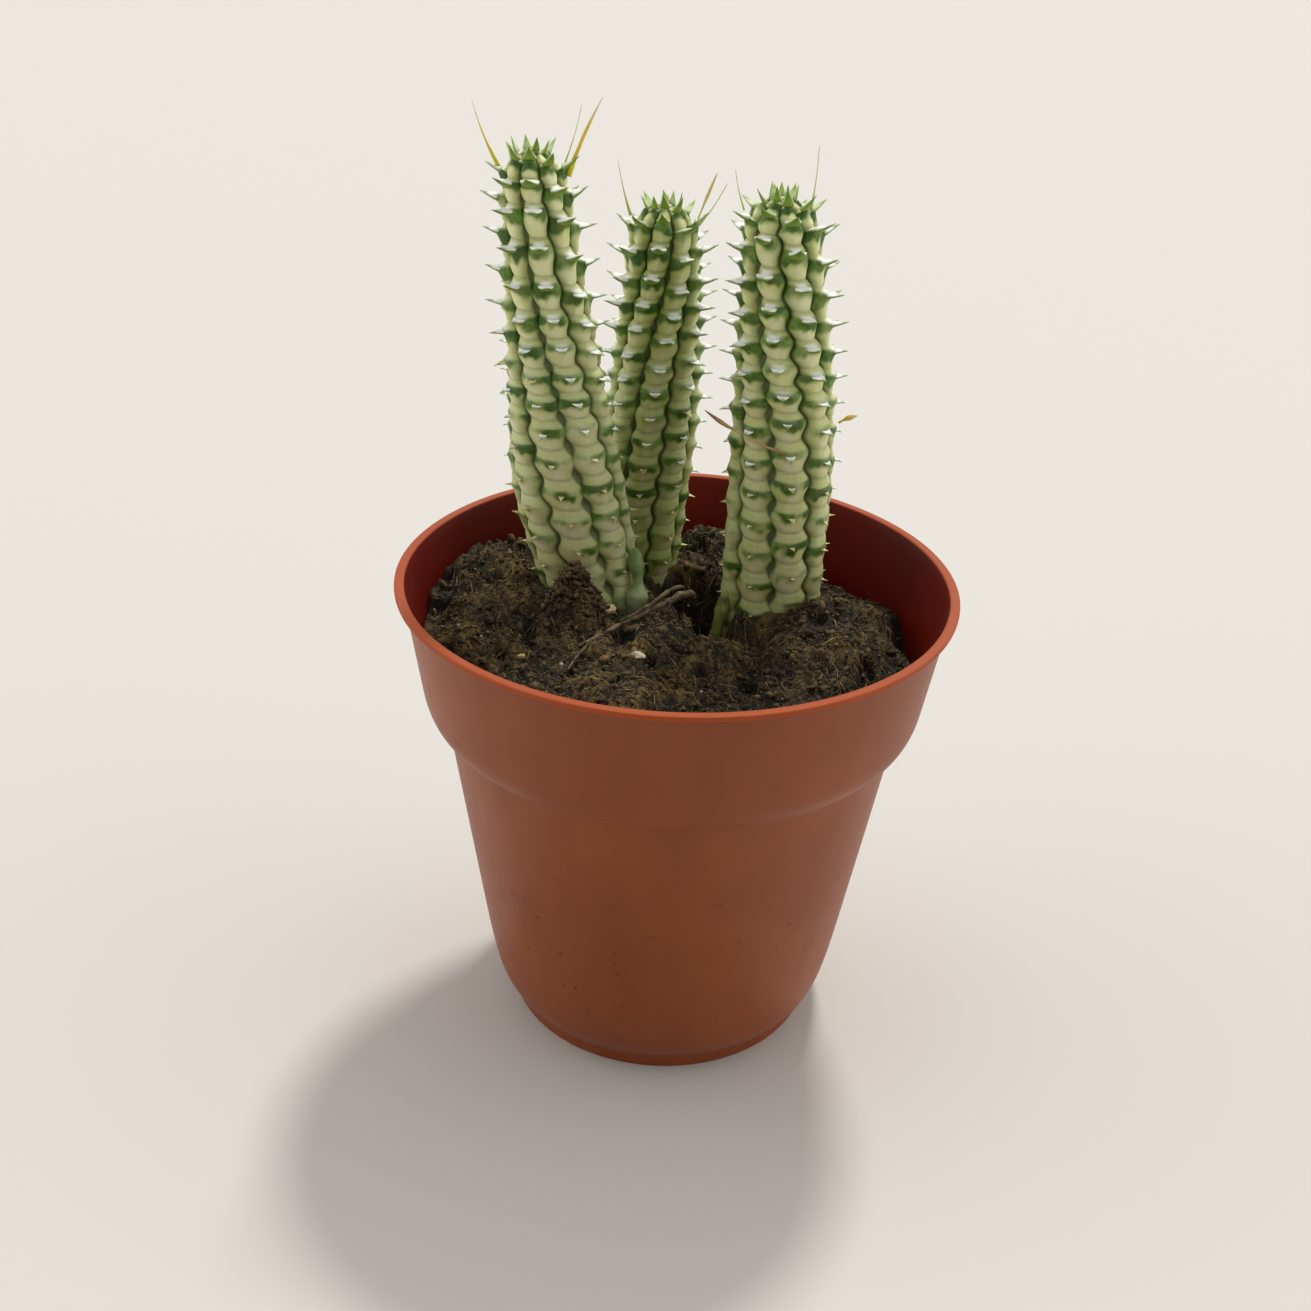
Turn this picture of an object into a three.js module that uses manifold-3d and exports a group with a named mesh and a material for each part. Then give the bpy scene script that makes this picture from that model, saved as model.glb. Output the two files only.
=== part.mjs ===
// Potted euphorbia: three ribbed succulent stems in a plastic nursery pot of potting soil.
// Millimetres, +Z up, origin at the centre of the circle on which the pot stands.

import * as THREE from "three";
import { mergeVertices } from "three/addons/utils/BufferGeometryUtils.js";
import Module from "manifold-3d";

// ---------------------------------------------------------------- driving dimensions

const GAP = 0.3;                 // clearance between pieces that touch

const POT = {
  lipRadius: 52.5,
  height: 92.7,
  lipThickness: 1.0,
  wall: 1.1,
  floorTop: 3.0,
  footRecess: 1.6,               // underside of the floor, above the foot ring
  footInner: 27.5,
  lipInner: 50.5,
  lipRounding: 0.3,
  floorRadius: 29.6,             // inside, where the floor meets the wall
  segments: 60,
};

// Outside of the pot wall from the foot ring to just under the lip: [radius, height].
const POT_WALL = [
  [30.7, 0], [30.9, 2.6], [33.0, 5.2], [34.3, 8.1], [35.8, 15.0],
  [43.5, 64.9], [46.2, 67.1], [47.6, 70.0], [51.0, 91.7],
];

const DRAIN = { count: 8, circleRadius: 21, radius: 2.7, sides: 12 };

const SOIL = {
  spokes: 40,
  rings: 13,
  level: 80.3,                   // at the pot's axis, before heaps and pits
  slopeX: -0.06,
  bottom: POT.floorTop + GAP,
  straightTo: 73,                // the soil follows the wall up to here
  edgeRadius: 47.5,              // where the height at the wall is read
};


// Heaps of the soil: centre x, y, height above the level, radius.
const HEAPS = [
  [-36, 20, 3.4, 11],            // back left shoulder
  [-32, -6, 2.6, 13],            // left shoulder
  [-17, 6, 2.6, 12],             // soil drawn up before the left stem
  [-19, -1, 9.5, 4.4],           // crumb in front of the left stem
  [-3, -9, 4.6, 11],             // front lump
  [-8, -27, 3.0, 9],
  [30, 4, 7.0, 12],              // round mound before the right stem
  [24, -8, 3.0, 9],
  [12.2, 5.2, 3.0, 3.2],
  [6, 41, 5.0, 6],               // crumb at the back wall
];

// Pits, which have steeper sides than the heaps: centre x, y, depth, radius.
const PITS = [
  [4.6, 20.0, 15, 8.2],          // crevice between the middle and right stems
  [5.8, 10.5, 12, 5.0],
  [7.2, 4.0, 6, 3.2],
  [15.5, -2, 3.2, 4.0],
  [46, 6, 5.0, 7.5],             // gaps where the soil has shrunk from the wall
  [-48, -2, 4.5, 7.0],
];

const RIBS = 8;
const COLUMNS_PER_RIB = 3;       // one groove column and two shoulder columns
const PITCH = 5.3;               // spacing of the tubercles up a rib
const GROOVE_DEPTH = 0.2;        // part of the radius
const TUBERCLE_BULGE = 0.8;
const TUBERCLE_FADE = 5;         // half-pitch rows over which the bulges die out at each end
const BURIED = 10;               // stem below its soil line
const WINDING_LENGTH = 60;       // the ribs wind within this distance of the top
const RIB_PHASE = 0.44;          // centres the ribs' stagger on the ring of points
const SOIL_CLEARANCE = GAP + 0.15;

// axis: points up the middle of the stem; girth: [height, radius over the rib crests];
// turn: degrees that the ribs wind over the top of the stem.
const STEMS = {
  left: {
    axis: [
      [-13.2, 12.5, 70], [-15.8, 12.5, 81], [-21.4, 12.5, 103], [-24.6, 12.5, 130],
      [-28.7, 12.5, 166.6],
    ],
    girth: [
      [70, 7.8], [80, 9.9], [86, 10.2], [104, 10.8], [122, 9.9], [140, 8.6], [155, 7.4],
      [163, 5.9], [166.6, 2.0],
    ],
    soilLine: 80, startAngle: 8, turn: 60,
  },
  middle: {
    axis: [
      [-10.6, 32.5, 64], [-9.4, 32.5, 86], [-6.4, 32.5, 114], [-5.5, 32.5, 138],
      [-5.6, 32.5, 153.8],
    ],
    girth: [
      [64, 7.4], [74, 9.3], [84, 9.7], [106, 9.7], [126, 9.3], [138, 8.6], [147, 7.2],
      [151, 5.2], [153.8, 1.8],
    ],
    soilLine: 74, startAngle: 22, turn: 10,
  },
  right: {
    axis: [
      [18.4, 14.5, 60], [18.6, 14.5, 88], [18.8, 14.5, 112], [17.3, 14.5, 138],
      [15.1, 14.5, 159.8],
    ],
    girth: [
      [60, 7.8], [70, 9.7], [82, 10.1], [112, 10.1], [134, 9.5], [148, 8.6], [154, 7.3],
      [157.5, 5.4], [159.8, 1.8],
    ],
    soilLine: 70, startAngle: 0, turn: 12,
  },
};

const CHIP_LIFT = 1.0;           // keeps a chip clear of the slope that it lies on

// drop: root below the stem's top; lean: tilt outwards in radians, on even and on odd ribs.
const CROWN_LEAF = {
  length: 3.8, width: 2.4, thickness: 0.9, drop: [2.6, 5.2], lean: [0.6, 0.95], girthBelow: 1.5,
};

const SPINE_TIP = 0.25;          // tip radius as a part of the root radius

// Flower-stalk spines: root and tip, root radius.
const SPINES = {
  spine_left_outer: { from: [-34.6, 12.5, 164.3], to: [-38.6, 12.5, 173.6], radius: 0.5 },
  spine_left_thick: { from: [-21.6, 12.5, 163.6], to: [-16.6, 12.5, 175.4], radius: 0.7 },
  spine_left_inner: { from: [-22.9, 16.0, 164.2], to: [-20.4, 15.6, 173.2], radius: 0.35 },
  spine_middle_outer: { from: [-12.3, 32.5, 152.6], to: [-14.4, 32.5, 161.2], radius: 0.4 },
  spine_middle_inner: { from: [1.0, 31.8, 151.8], to: [3.7, 31.6, 159.6], radius: 0.5 },
  spine_middle_low: { from: [1.6, 34.6, 150.8], to: [5.6, 35.2, 157.2], radius: 0.35 },
  spine_right_outer: { from: [8.4, 14.5, 158.6], to: [7.0, 14.5, 163.6], radius: 0.35 },
  spine_right_inner: { from: [20.6, 13.9, 159.2], to: [20.9, 14.4, 168.0], radius: 0.35 },
  dried_stalk_right: { from: [10.2, 7.2, 119.0], to: [3.9, 6.2, 122.9], radius: 0.4 },
  dried_stub_right: { from: [28.9, 10.0, 120.6], to: [31.2, 9.4, 122.2], radius: 0.4 },
};

const TWIG = {
  route: [
    [-16.5, -13.7, 86.6], [-11.5, -9.2, 88.0], [-6.6, -3.2, 88.2], [-2.1, 3.0, 87.0],
    [3.3, 8.2, 86.4],
  ],
  radius: 0.8, sides: 6, steps: 14,
};

// Loose pieces on the soil: x, y and half sizes.
const CHIPS = {
  bark_chip_pale: { at: [-12.5, -3.0], half: [1.5, 1.1, 0.8], color: 0xd9c79c },
  perlite_grain: { at: [-6.3, -18.8], half: [1.3, 0.9, 0.7], color: 0xe9e4d2 },
  bark_chip_yellow: { at: [-27.3, -19.1], half: [0.9, 0.7, 0.5], color: 0xb59a4e },
  bark_chip_right: { at: [11.8, 0.5], half: [1.8, 0.6, 0.5], color: 0xa88f6a },
};

const COLORS = {
  pot: 0x9a4a2e, soil: 0x2e2318, stem: 0xa9b98d, leaf: 0x5d8a3c, spine: 0xd9b25a,
  dried: 0x8a5a34, twig: 0x6d5335,
};

// ---------------------------------------------------------------- solids

const wasm = await Module();
wasm.setup();

function closed(geometry) {
  // One watertight mesh: shared corners merged, slivers on the axis dropped, faces outward.
  geometry.deleteAttribute("normal");
  geometry.deleteAttribute("uv");
  const merged = mergeVertices(geometry, 1e-4);
  const index = merged.index.array;
  const kept = [];
  for (let i = 0; i < index.length; i += 3) {
    const [a, b, c] = [index[i], index[i + 1], index[i + 2]];
    if (a !== b && b !== c && c !== a) kept.push(a, b, c);
  }
  merged.setIndex(signedVolume(merged.attributes.position, kept) < 0 ? kept.reverse() : kept);
  return merged;
}

function signedVolume(position, index) {
  const [a, b, c] = [new THREE.Vector3(), new THREE.Vector3(), new THREE.Vector3()];
  let volume = 0;
  for (let i = 0; i < index.length; i += 3) {
    a.fromBufferAttribute(position, index[i]);
    b.fromBufferAttribute(position, index[i + 1]);
    c.fromBufferAttribute(position, index[i + 2]);
    volume += a.dot(b.cross(c)) / 6;
  }
  return volume;
}

function toSolid(geometry) {
  const mesh = new wasm.Mesh({
    numProp: 3,
    vertProperties: new Float32Array(geometry.attributes.position.array),
    triVerts: new Uint32Array(geometry.index.array),
  });
  return new wasm.Manifold(mesh);
}

function toGeometry(solid) {
  const mesh = solid.getMesh();
  const geometry = new THREE.BufferGeometry();
  geometry.setAttribute("position", new THREE.BufferAttribute(mesh.vertProperties, 3));
  geometry.setIndex(new THREE.BufferAttribute(mesh.triVerts, 1));
  return geometry;
}

function revolve(outline, segments) {
  const points = outline.map(([radius, height]) => new THREE.Vector2(radius, height));
  return closed(new THREE.LatheGeometry(points, segments).rotateX(Math.PI / 2));
}

function skin(rings) {
  // Closed tube through rings of equally many points, with a point at each end.
  const count = rings[0].length;
  const sumOf = (ring) => ring.reduce((sum, point) => sum.add(point), new THREE.Vector3());
  const centre = (ring) => sumOf(ring).divideScalar(count);
  const points = [centre(rings[0]), ...rings.flat(), centre(rings[rings.length - 1])];
  const index = [];
  for (let column = 0; column < count; column += 1) {
    const next = (column + 1) % count;
    index.push(0, 1 + next, 1 + column);
    for (let row = 0; row + 1 < rings.length; row += 1) {
      const low = 1 + row * count;
      const high = low + count;
      index.push(low + column, low + next, high + next, low + column, high + next, high + column);
    }
    const last = 1 + (rings.length - 1) * count;
    index.push(points.length - 1, last + column, last + next);
  }
  const geometry = new THREE.BufferGeometry().setFromPoints(points);
  geometry.setIndex(index);
  return closed(geometry);
}

function lookUp(table, x) {
  // Straight interpolation in a list of [x, value].
  if (x <= table[0][0]) return table[0][1];
  const i = table.findIndex(([edge]) => edge >= x);
  if (i < 0) return table[table.length - 1][1];
  const [x0, y0] = table[i - 1];
  const [x1, y1] = table[i];
  return y0 + (y1 - y0) * (x - x0) / (x1 - x0);
}

// ---------------------------------------------------------------- pot

// Inside of the wall, from the foot's rounding up to the lip.
const INSIDE_RISE = 0.4;
const POT_INSIDE = POT_WALL.slice(3).map(
  ([radius, height]) => [radius - POT.wall, height + INSIDE_RISE],
);

function potGeometry() {
  const lipUnder = POT.height - POT.lipThickness;
  const inside = [
    [POT.floorRadius, POT.floorTop], ...POT_INSIDE.slice(0, -1), [POT.lipInner - 0.5, lipUnder],
  ];
  const outline = [
    [0, POT.footRecess], [POT.footInner, POT.footRecess], [POT.footInner, 0],
    ...POT_WALL,
    [POT.lipRadius - POT.lipRounding, lipUnder], [POT.lipRadius, lipUnder + POT.lipRounding],
    [POT.lipRadius, POT.height - POT.lipRounding],
    [POT.lipRadius - POT.lipRounding, POT.height], [POT.lipInner, POT.height],
    ...inside.reverse(),
    [0, POT.floorTop],
  ];
  const drillLength = 8;
  let pot = toSolid(revolve(outline, POT.segments));
  for (let i = 0; i < DRAIN.count; i += 1) {
    const angle = (2 * Math.PI * i) / DRAIN.count;
    const drill = new THREE.CylinderGeometry(DRAIN.radius, DRAIN.radius, drillLength, DRAIN.sides);
    drill.rotateX(Math.PI / 2).translate(
      DRAIN.circleRadius * Math.cos(angle), DRAIN.circleRadius * Math.sin(angle), POT.floorTop / 2,
    );
    pot = pot.subtract(toSolid(closed(drill)));
  }
  return toGeometry(pot);
}

// ---------------------------------------------------------------- stems

function axisPoint(stem, z) {
  const x = lookUp(stem.axis.map((p) => [p[2], p[0]]), z);
  const y = lookUp(stem.axis.map((p) => [p[2], p[1]]), z);
  return new THREE.Vector3(x, y, z);
}

function ribAngle(stem, rib, z) {
  const top = stem.axis[stem.axis.length - 1][2];
  const wound = THREE.MathUtils.smoothstep(z, top - WINDING_LENGTH, top);
  return THREE.MathUtils.degToRad(stem.startAngle + (360 * rib) / RIBS - stem.turn * wound);
}

function stemGeometry(stem, clearance) {
  const foot = stem.soilLine - BURIED;
  const top = stem.axis[stem.axis.length - 1][2];
  const rows = Math.round((top - foot) / (PITCH / 2));
  const rings = [];
  for (let row = 0; row <= rows; row += 1) {
    const level = foot + (top - foot) * (row / rows);
    const fade = Math.min(1, row / TUBERCLE_FADE, (rows - row) / TUBERCLE_FADE);
    const swell = row % 2 ? 0 : TUBERCLE_BULGE * fade;
    const ring = [];
    for (let column = 0; column < RIBS * COLUMNS_PER_RIB; column += 1) {
      const rib = Math.floor(column / COLUMNS_PER_RIB);
      const part = column % COLUMNS_PER_RIB;
      const stagger = ((3 * rib) % RIBS) / RIBS - RIB_PHASE;
      const z = level + stagger * (PITCH / 2) * fade;
      const crest = lookUp(stem.girth, z);
      const radius = part === 0 ? crest * (1 - GROOVE_DEPTH * fade) : crest - swell;
      const angle = ribAngle(stem, rib + part / COLUMNS_PER_RIB, z);
      const out = new THREE.Vector3(Math.cos(angle), Math.sin(angle), 0);
      ring.push(axisPoint(stem, z).addScaledVector(out, radius + clearance));
    }
    rings.push(ring);
  }
  if (clearance > 0) rings[0].forEach((point) => { point.z -= clearance; });
  return skin(rings);
}

function crownLeafGeometry() {
  // Flat pointed blade along +Z, standing on its root.
  const blade = new THREE.ConeGeometry(CROWN_LEAF.width / 2, CROWN_LEAF.length, 6);
  blade.rotateX(Math.PI / 2).translate(0, 0, CROWN_LEAF.length / 2);
  blade.scale(CROWN_LEAF.thickness / CROWN_LEAF.width, 1, 1);
  return closed(blade);
}

function spineGeometry({ from, to, radius }) {
  const root = new THREE.Vector3(...from);
  const along = new THREE.Vector3(...to).sub(root);
  const cone = new THREE.CylinderGeometry(radius * SPINE_TIP, radius, along.length(), 6);
  cone.translate(0, along.length() / 2, 0);
  const turn = new THREE.Quaternion().setFromUnitVectors(new THREE.Vector3(0, 1, 0), along.normalize());
  return closed(cone.applyQuaternion(turn).translate(...from));
}

// ---------------------------------------------------------------- soil and what lies on it

function soilHeight(x, y) {
  let height = SOIL.level + SOIL.slopeX * x;
  for (const [cx, cy, rise, reach] of HEAPS) {
    const distance = Math.hypot(x - cx, y - cy) / reach;
    height += rise * Math.exp(-(distance ** 2));
  }
  for (const [cx, cy, drop, reach] of PITS) {
    const distance = Math.hypot(x - cx, y - cy) / reach;
    height -= drop * Math.exp(-(distance ** 4));
  }
  return height;
}

function soilGeometry() {
  const wall = [[POT.floorRadius, POT.floorTop], ...POT_INSIDE].map(
    ([radius, height]) => [height, radius - GAP],
  );
  const levels = wall.map(([height]) => height).filter(
    (height) => height > SOIL.bottom && height < SOIL.straightTo,
  );
  const rings = [];
  const ringAt = (radiusAndHeight) => Array.from({ length: SOIL.spokes }, (_, i) => {
    const angle = (2 * Math.PI * i) / SOIL.spokes;
    const [radius, height] = radiusAndHeight(Math.cos(angle), Math.sin(angle));
    return new THREE.Vector3(radius * Math.cos(angle), radius * Math.sin(angle), height);
  });
  for (const height of [SOIL.bottom, ...levels]) {
    rings.push(ringAt(() => [lookUp(wall, height), height]));
  }
  for (let ring = SOIL.rings; ring >= 1; ring -= 1) {
    rings.push(ringAt((cos, sin) => {
      const edge = soilHeight(SOIL.edgeRadius * cos, SOIL.edgeRadius * sin);
      const radius = lookUp(wall, edge) * (ring / SOIL.rings);
      return [radius, ring === SOIL.rings ? edge : soilHeight(radius * cos, radius * sin)];
    }));
  }
  let soil = toSolid(skin(rings));
  for (const stem of Object.values(STEMS)) {
    soil = soil.subtract(toSolid(stemGeometry(stem, SOIL_CLEARANCE)));
  }
  return toGeometry(soil);
}

function twigGeometry() {
  const points = TWIG.route.map((point) => new THREE.Vector3(...point));
  const extrudePath = new THREE.CatmullRomCurve3(points);
  const section = new THREE.Shape();
  for (let i = 0; i < TWIG.sides; i += 1) {
    const angle = (2 * Math.PI * i) / TWIG.sides;
    section[i ? "lineTo" : "moveTo"](TWIG.radius * Math.cos(angle), TWIG.radius * Math.sin(angle));
  }
  const settings = { steps: TWIG.steps, bevelEnabled: false, extrudePath };
  return closed(new THREE.ExtrudeGeometry(section, settings));
}

function chipGeometry({ at: [x, y], half }) {
  const chip = new THREE.IcosahedronGeometry(1, 0).scale(...half);
  return closed(chip.translate(x, y, soilHeight(x, y) + half[2] + CHIP_LIFT));
}

// ---------------------------------------------------------------- assembly

const plant = new THREE.Group();

function add(parent, name, geometry, color, roughness) {
  const material = new THREE.MeshStandardMaterial({ color, roughness, metalness: 0 });
  const mesh = new THREE.Mesh(geometry, material);
  mesh.name = name;
  parent.add(mesh);
  return mesh;
}

add(plant, "pot", potGeometry(), COLORS.pot, 0.45);
add(plant, "potting_soil", soilGeometry(), COLORS.soil, 1);

for (const [side, stem] of Object.entries(STEMS)) {
  add(plant, `stem_${side}`, stemGeometry(stem, 0), COLORS.stem, 0.55);
  const top = stem.axis[stem.axis.length - 1][2];
  for (let rib = 0; rib < RIBS; rib += 1) {
    // Alternate ribs carry their top leaf a little lower, and it leans out further.
    const z = top - CROWN_LEAF.drop[rib % 2];
    const angle = ribAngle(stem, rib + 0.5, z);
    const out = new THREE.Vector3(Math.cos(angle), Math.sin(angle), 0);
    const radius = lookUp(stem.girth, z - CROWN_LEAF.girthBelow) + 2 * GAP;
    const name = `crown_leaf_${side}_${rib + 1}`;
    const leaf = add(plant, name, crownLeafGeometry(), COLORS.leaf, 0.5);
    leaf.position.copy(axisPoint(stem, z)).addScaledVector(out, radius);
    leaf.rotation.set(0, CROWN_LEAF.lean[rib % 2], angle, "ZYX");
  }
}

for (const [name, spine] of Object.entries(SPINES)) {
  const color = name.startsWith("dried") ? COLORS.dried : COLORS.spine;
  add(plant, name, spineGeometry(spine), color, 0.5);
}

add(plant, "twig", twigGeometry(), COLORS.twig, 0.85);
for (const [name, chip] of Object.entries(CHIPS)) {
  add(plant, name, chipGeometry(chip), chip.color, 0.9);
}

export default plant;
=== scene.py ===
# %% [markdown]
# # A potted euphorbia
#
# Three ribbed succulent stems stand in a thin plastic nursery pot of peat soil. The solid model
# of the plant is already there, in metres, with +Z up. This lesson builds the surfaces that an
# eye would see: the moulded pot, the crumbly soil, the waxy skin with its rows of swellings, the
# small leaves, the spiny flower stalks, and the light. Sizes below are in millimetres and are
# turned into metres only where a mesh is made.

import math

import bmesh
import bpy
import numpy as np
from mathutils import Matrix, Quaternion, Vector


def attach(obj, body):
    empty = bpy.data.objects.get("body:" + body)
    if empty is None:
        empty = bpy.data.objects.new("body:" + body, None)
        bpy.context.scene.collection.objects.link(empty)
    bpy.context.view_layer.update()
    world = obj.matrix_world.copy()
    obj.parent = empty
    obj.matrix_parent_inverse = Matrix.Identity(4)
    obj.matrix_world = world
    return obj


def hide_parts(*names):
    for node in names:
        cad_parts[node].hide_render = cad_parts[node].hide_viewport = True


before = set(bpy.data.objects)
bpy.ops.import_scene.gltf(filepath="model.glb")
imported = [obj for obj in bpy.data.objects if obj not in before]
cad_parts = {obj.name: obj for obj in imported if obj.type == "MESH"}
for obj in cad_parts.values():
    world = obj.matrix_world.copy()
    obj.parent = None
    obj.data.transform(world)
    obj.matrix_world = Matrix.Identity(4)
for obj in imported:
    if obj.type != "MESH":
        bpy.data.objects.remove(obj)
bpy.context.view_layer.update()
MM = 0.001

# %% [markdown]
# ## A camera that looks down on the pot
#
# The plant is seen from the front and from above, close enough for the pot to taper strongly.
# A camera can be placed by eye in the viewport, but giving it a place, a point to look at and a
# small roll keeps those three decisions apart, so each can be corrected alone.

# %% Camera
CAMERA_PLACE = Vector((0, -271.1, 220.4)) * MM
CAMERA_TARGET = Vector((-3.5, 0, 75.5)) * MM
CAMERA_ROLL = math.radians(2.34)
SENSOR = 36.0
LENS = 43.9

camera_data = bpy.data.cameras.new("camera")
camera_data.sensor_width = SENSOR
camera_data.lens = LENS
camera_data.clip_start = 0.01
camera = bpy.data.objects.new("camera", camera_data)
bpy.context.scene.collection.objects.link(camera)
camera.location = CAMERA_PLACE
camera.rotation_mode = "QUATERNION"
look = (CAMERA_TARGET - CAMERA_PLACE).to_track_quat("-Z", "Y")
camera.rotation_quaternion = look @ Quaternion((0, 0, 1), CAMERA_ROLL)
bpy.context.scene.camera = camera
print("camera looks down by", round(math.degrees(math.asin(
    (CAMERA_PLACE - CAMERA_TARGET).normalized().z)), 1), "degrees")

# %% [markdown]
# ## Colours by their everyday numbers
#
# Paint shops and screens give colours as 0 to 255 in the sRGB scale, but a renderer adds light
# on a linear scale. One small function turns the first into the second, so that the rest of the
# file can use numbers that a person can picture.

# %% Colour helper
LAMP_GAIN = 1.3
# A white that is partly the leaves' pale upper faces and partly painted highlight where light falls
# on them and on the skin above them.
PALE_AND_HIGHLIGHT_WHITE = (0.97, 0.97, 0.92, 1.0)


def paint(red, green, blue):
    """Linear colour that reads as this everyday 0-255 colour under lamps of this gain."""
    def straighten(value):
        value /= 255
        linear = value / 12.92 if value <= 0.04045 else ((value + 0.055) / 1.055) ** 2.4
        return linear / LAMP_GAIN
    return (straighten(red), straighten(green), straighten(blue), 1.0)


print("mid grey is", [round(value, 3) for value in paint(128, 128, 128)])

# %% [markdown]
# ## Shader maths written as sums
#
# A material is a web of small nodes. Drawing the web link by link hides the idea, so a socket is
# wrapped in a little class that understands plus, minus and times: `1 - mask * 0.5` then adds
# the Math nodes by itself. Colours are mixed with Mix nodes, because a Math node would turn them
# grey, and a finish is a base with coats laid over it in turn. Everything else comes from one
# method, `add`, which takes a node's type, its settings and what goes into its sockets.

# %% Wires and recipes
class Wire:
    """A value that flows between shader nodes and can be used in a sum."""

    def __init__(self, recipe, socket):
        self.recipe = recipe
        self.socket = socket

    def math(self, operation, *values):
        return self.recipe.add("ShaderNodeMath", {"operation": operation}, *values)

    def __add__(self, other):
        return self.math("ADD", self, other)

    def __sub__(self, other):
        return self.math("SUBTRACT", self, other)

    def __rsub__(self, other):
        return self.math("SUBTRACT", other, self)

    def __mul__(self, other):
        return self.math("MULTIPLY", self, other)

    __radd__ = __add__
    __rmul__ = __mul__

    def between(self, low, high, start=0.0, end=1.0):
        """Start below low, end above high, and a smooth step from one to the other."""
        settings = {"interpolation_type": "SMOOTHSTEP"}
        return self.recipe.add("ShaderNodeMapRange", settings, self, low, high, start, end)


class Recipe:
    """One finish: a material or a world, its shader, and the nodes that feed it."""

    def __init__(self, name, world=None):
        self.owner = world or bpy.data.materials.new(name)
        self.owner.use_nodes = True
        self.tree = self.owner.node_tree
        self.shader = self.tree.nodes["Background" if world else "Principled BSDF"]

    def add(self, kind, settings=None, *values, out=0, **named):
        """A node of this type, with its settings first, then its sockets in order or by name."""
        node = self.tree.nodes.new(kind)
        for key, value in (settings or {}).items():
            setattr(node, key, value)
        for socket, value in zip(node.inputs, values):
            self.plug(socket, value)
        for key, value in named.items():
            self.plug(node.inputs[key.replace("_", " ")], value)
        return Wire(self, node.outputs[out])

    def plug(self, socket, value):
        if isinstance(value, Wire):
            self.tree.links.new(value.socket, socket)
        else:
            socket.default_value = value

    def mask(self, name):
        """A number stored on the mesh, such as how deep in a furrow a point lies."""
        return self.add("ShaderNodeAttribute", {"attribute_name": name}, out="Fac")

    def speckle(self, across, detail=3.0, roughness=0.6, stretch=None):
        """Soft noise from 0 to 1 with lumps this many millimetres across, round or stretched."""
        place = self.add("ShaderNodeTexCoord", out="Object")
        if stretch:
            place = self.add("ShaderNodeVectorMath", {"operation": "MULTIPLY"}, place, stretch)
        return self.add("ShaderNodeTexNoise", None, Vector=place, Scale=1000.0 / across,
                        Detail=detail, Roughness=roughness)

    def blend(self, amount, first, second):
        """First colour where amount is 0, second where it is 1. Three numbers get painted."""
        settings = {"data_type": "RGBA", "clamp_factor": True}
        mixed = self.add("ShaderNodeMix", settings, amount, out=2)
        for socket, colour in zip(mixed.socket.node.inputs[6:8], (first, second)):
            everyday = isinstance(colour, tuple) and len(colour) == 3
            self.plug(socket, paint(*colour) if everyday else colour)
        return mixed

    def coats(self, colour, *coats):
        """A colour with coats laid over it in turn, each an amount and a colour."""
        for amount, coat in coats:
            colour = self.blend(amount, colour, coat)
        return colour

    def relief(self, height, depth, strength=1.0):
        """Fine bumps of this many millimetres, for the shader's Normal."""
        return self.add("ShaderNodeBump", None, Height=height, Distance=depth * MM,
                        Strength=strength)

    def finish(self, **sockets):
        for key, value in sockets.items():
            self.plug(self.shader.inputs[key.replace("_", " ")], value)
        return self.owner


print("recipes ready")

# %% [markdown]
# ## Making a mesh from points
#
# Every piece below is worked out as an array of points in millimetres and a list of faces.
# Numbers that a finish needs later, such as how deep a point lies in a furrow, are stored on the
# same points as attributes. The piece rides on the body `root`, since nothing in a pot moves.

# %% Mesh helpers
def make_piece(name, points, faces, material, masks=None, replaces=(), slot=None):
    """A smooth mesh object from points in millimetres, riding with the pot."""
    mesh = bpy.data.meshes.new(name)
    mesh.from_pydata((np.asarray(points, dtype=float) * MM).tolist(), [], faces)
    for mask, values in (masks or {}).items():
        layer = mesh.attributes.new(mask, "FLOAT", "POINT")
        layer.data.foreach_set("value", np.asarray(values, dtype=np.float32))
    mesh.materials.append(material)
    mesh.shade_smooth()
    mesh.validate()
    piece = bpy.data.objects.new(name, mesh)
    bpy.context.scene.collection.objects.link(piece)
    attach(piece, "root")
    if replaces:
        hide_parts(*replaces)
    print(name, "has", len(mesh.polygons), "faces")
    return piece


def tube_faces(rows, columns, start=0):
    """Four-sided faces of a tube of rings, each ring a row of points."""
    faces = []
    for row in range(rows - 1):
        for column in range(columns):
            right = (column + 1) % columns
            low = start + row * columns
            faces.append((low + column, low + right, low + columns + right, low + columns + column))
    return faces


def closed_tube(rows, columns, start=0):
    """A tube with one flat face at each end."""
    end = start + (rows - 1) * columns
    first_end, last_end = range(start, start + columns), range(end, end + columns)
    return tube_faces(rows, columns, start) + [tuple(first_end)[::-1], tuple(last_end)]


def fanned_tube(rows, columns):
    """A tube whose ends are fans of triangles round two more points, which follow its rings."""
    faces = tube_faces(rows, columns)
    last = rows * columns
    for column in range(columns):
        right = (column + 1) % columns
        faces.append((last, right, column))
        faces.append((last + 1, last - columns + column, last - columns + right))
    return faces


def lattice(cells, seed):
    """A fixed random number from -1 to 1 for each whole-numbered cell."""
    x, y, z = (cells[..., i].astype(np.int64) for i in range(3))
    mixed = (x * 73856093) ^ (y * 19349663) ^ (z * 83492791) ^ (seed * 2654435761)
    mixed = (mixed ^ (mixed >> 13)) * 1274126177
    mixed = mixed ^ (mixed >> 16)
    return (mixed & 0xFFFF) / 32767.5 - 1.0


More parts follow.
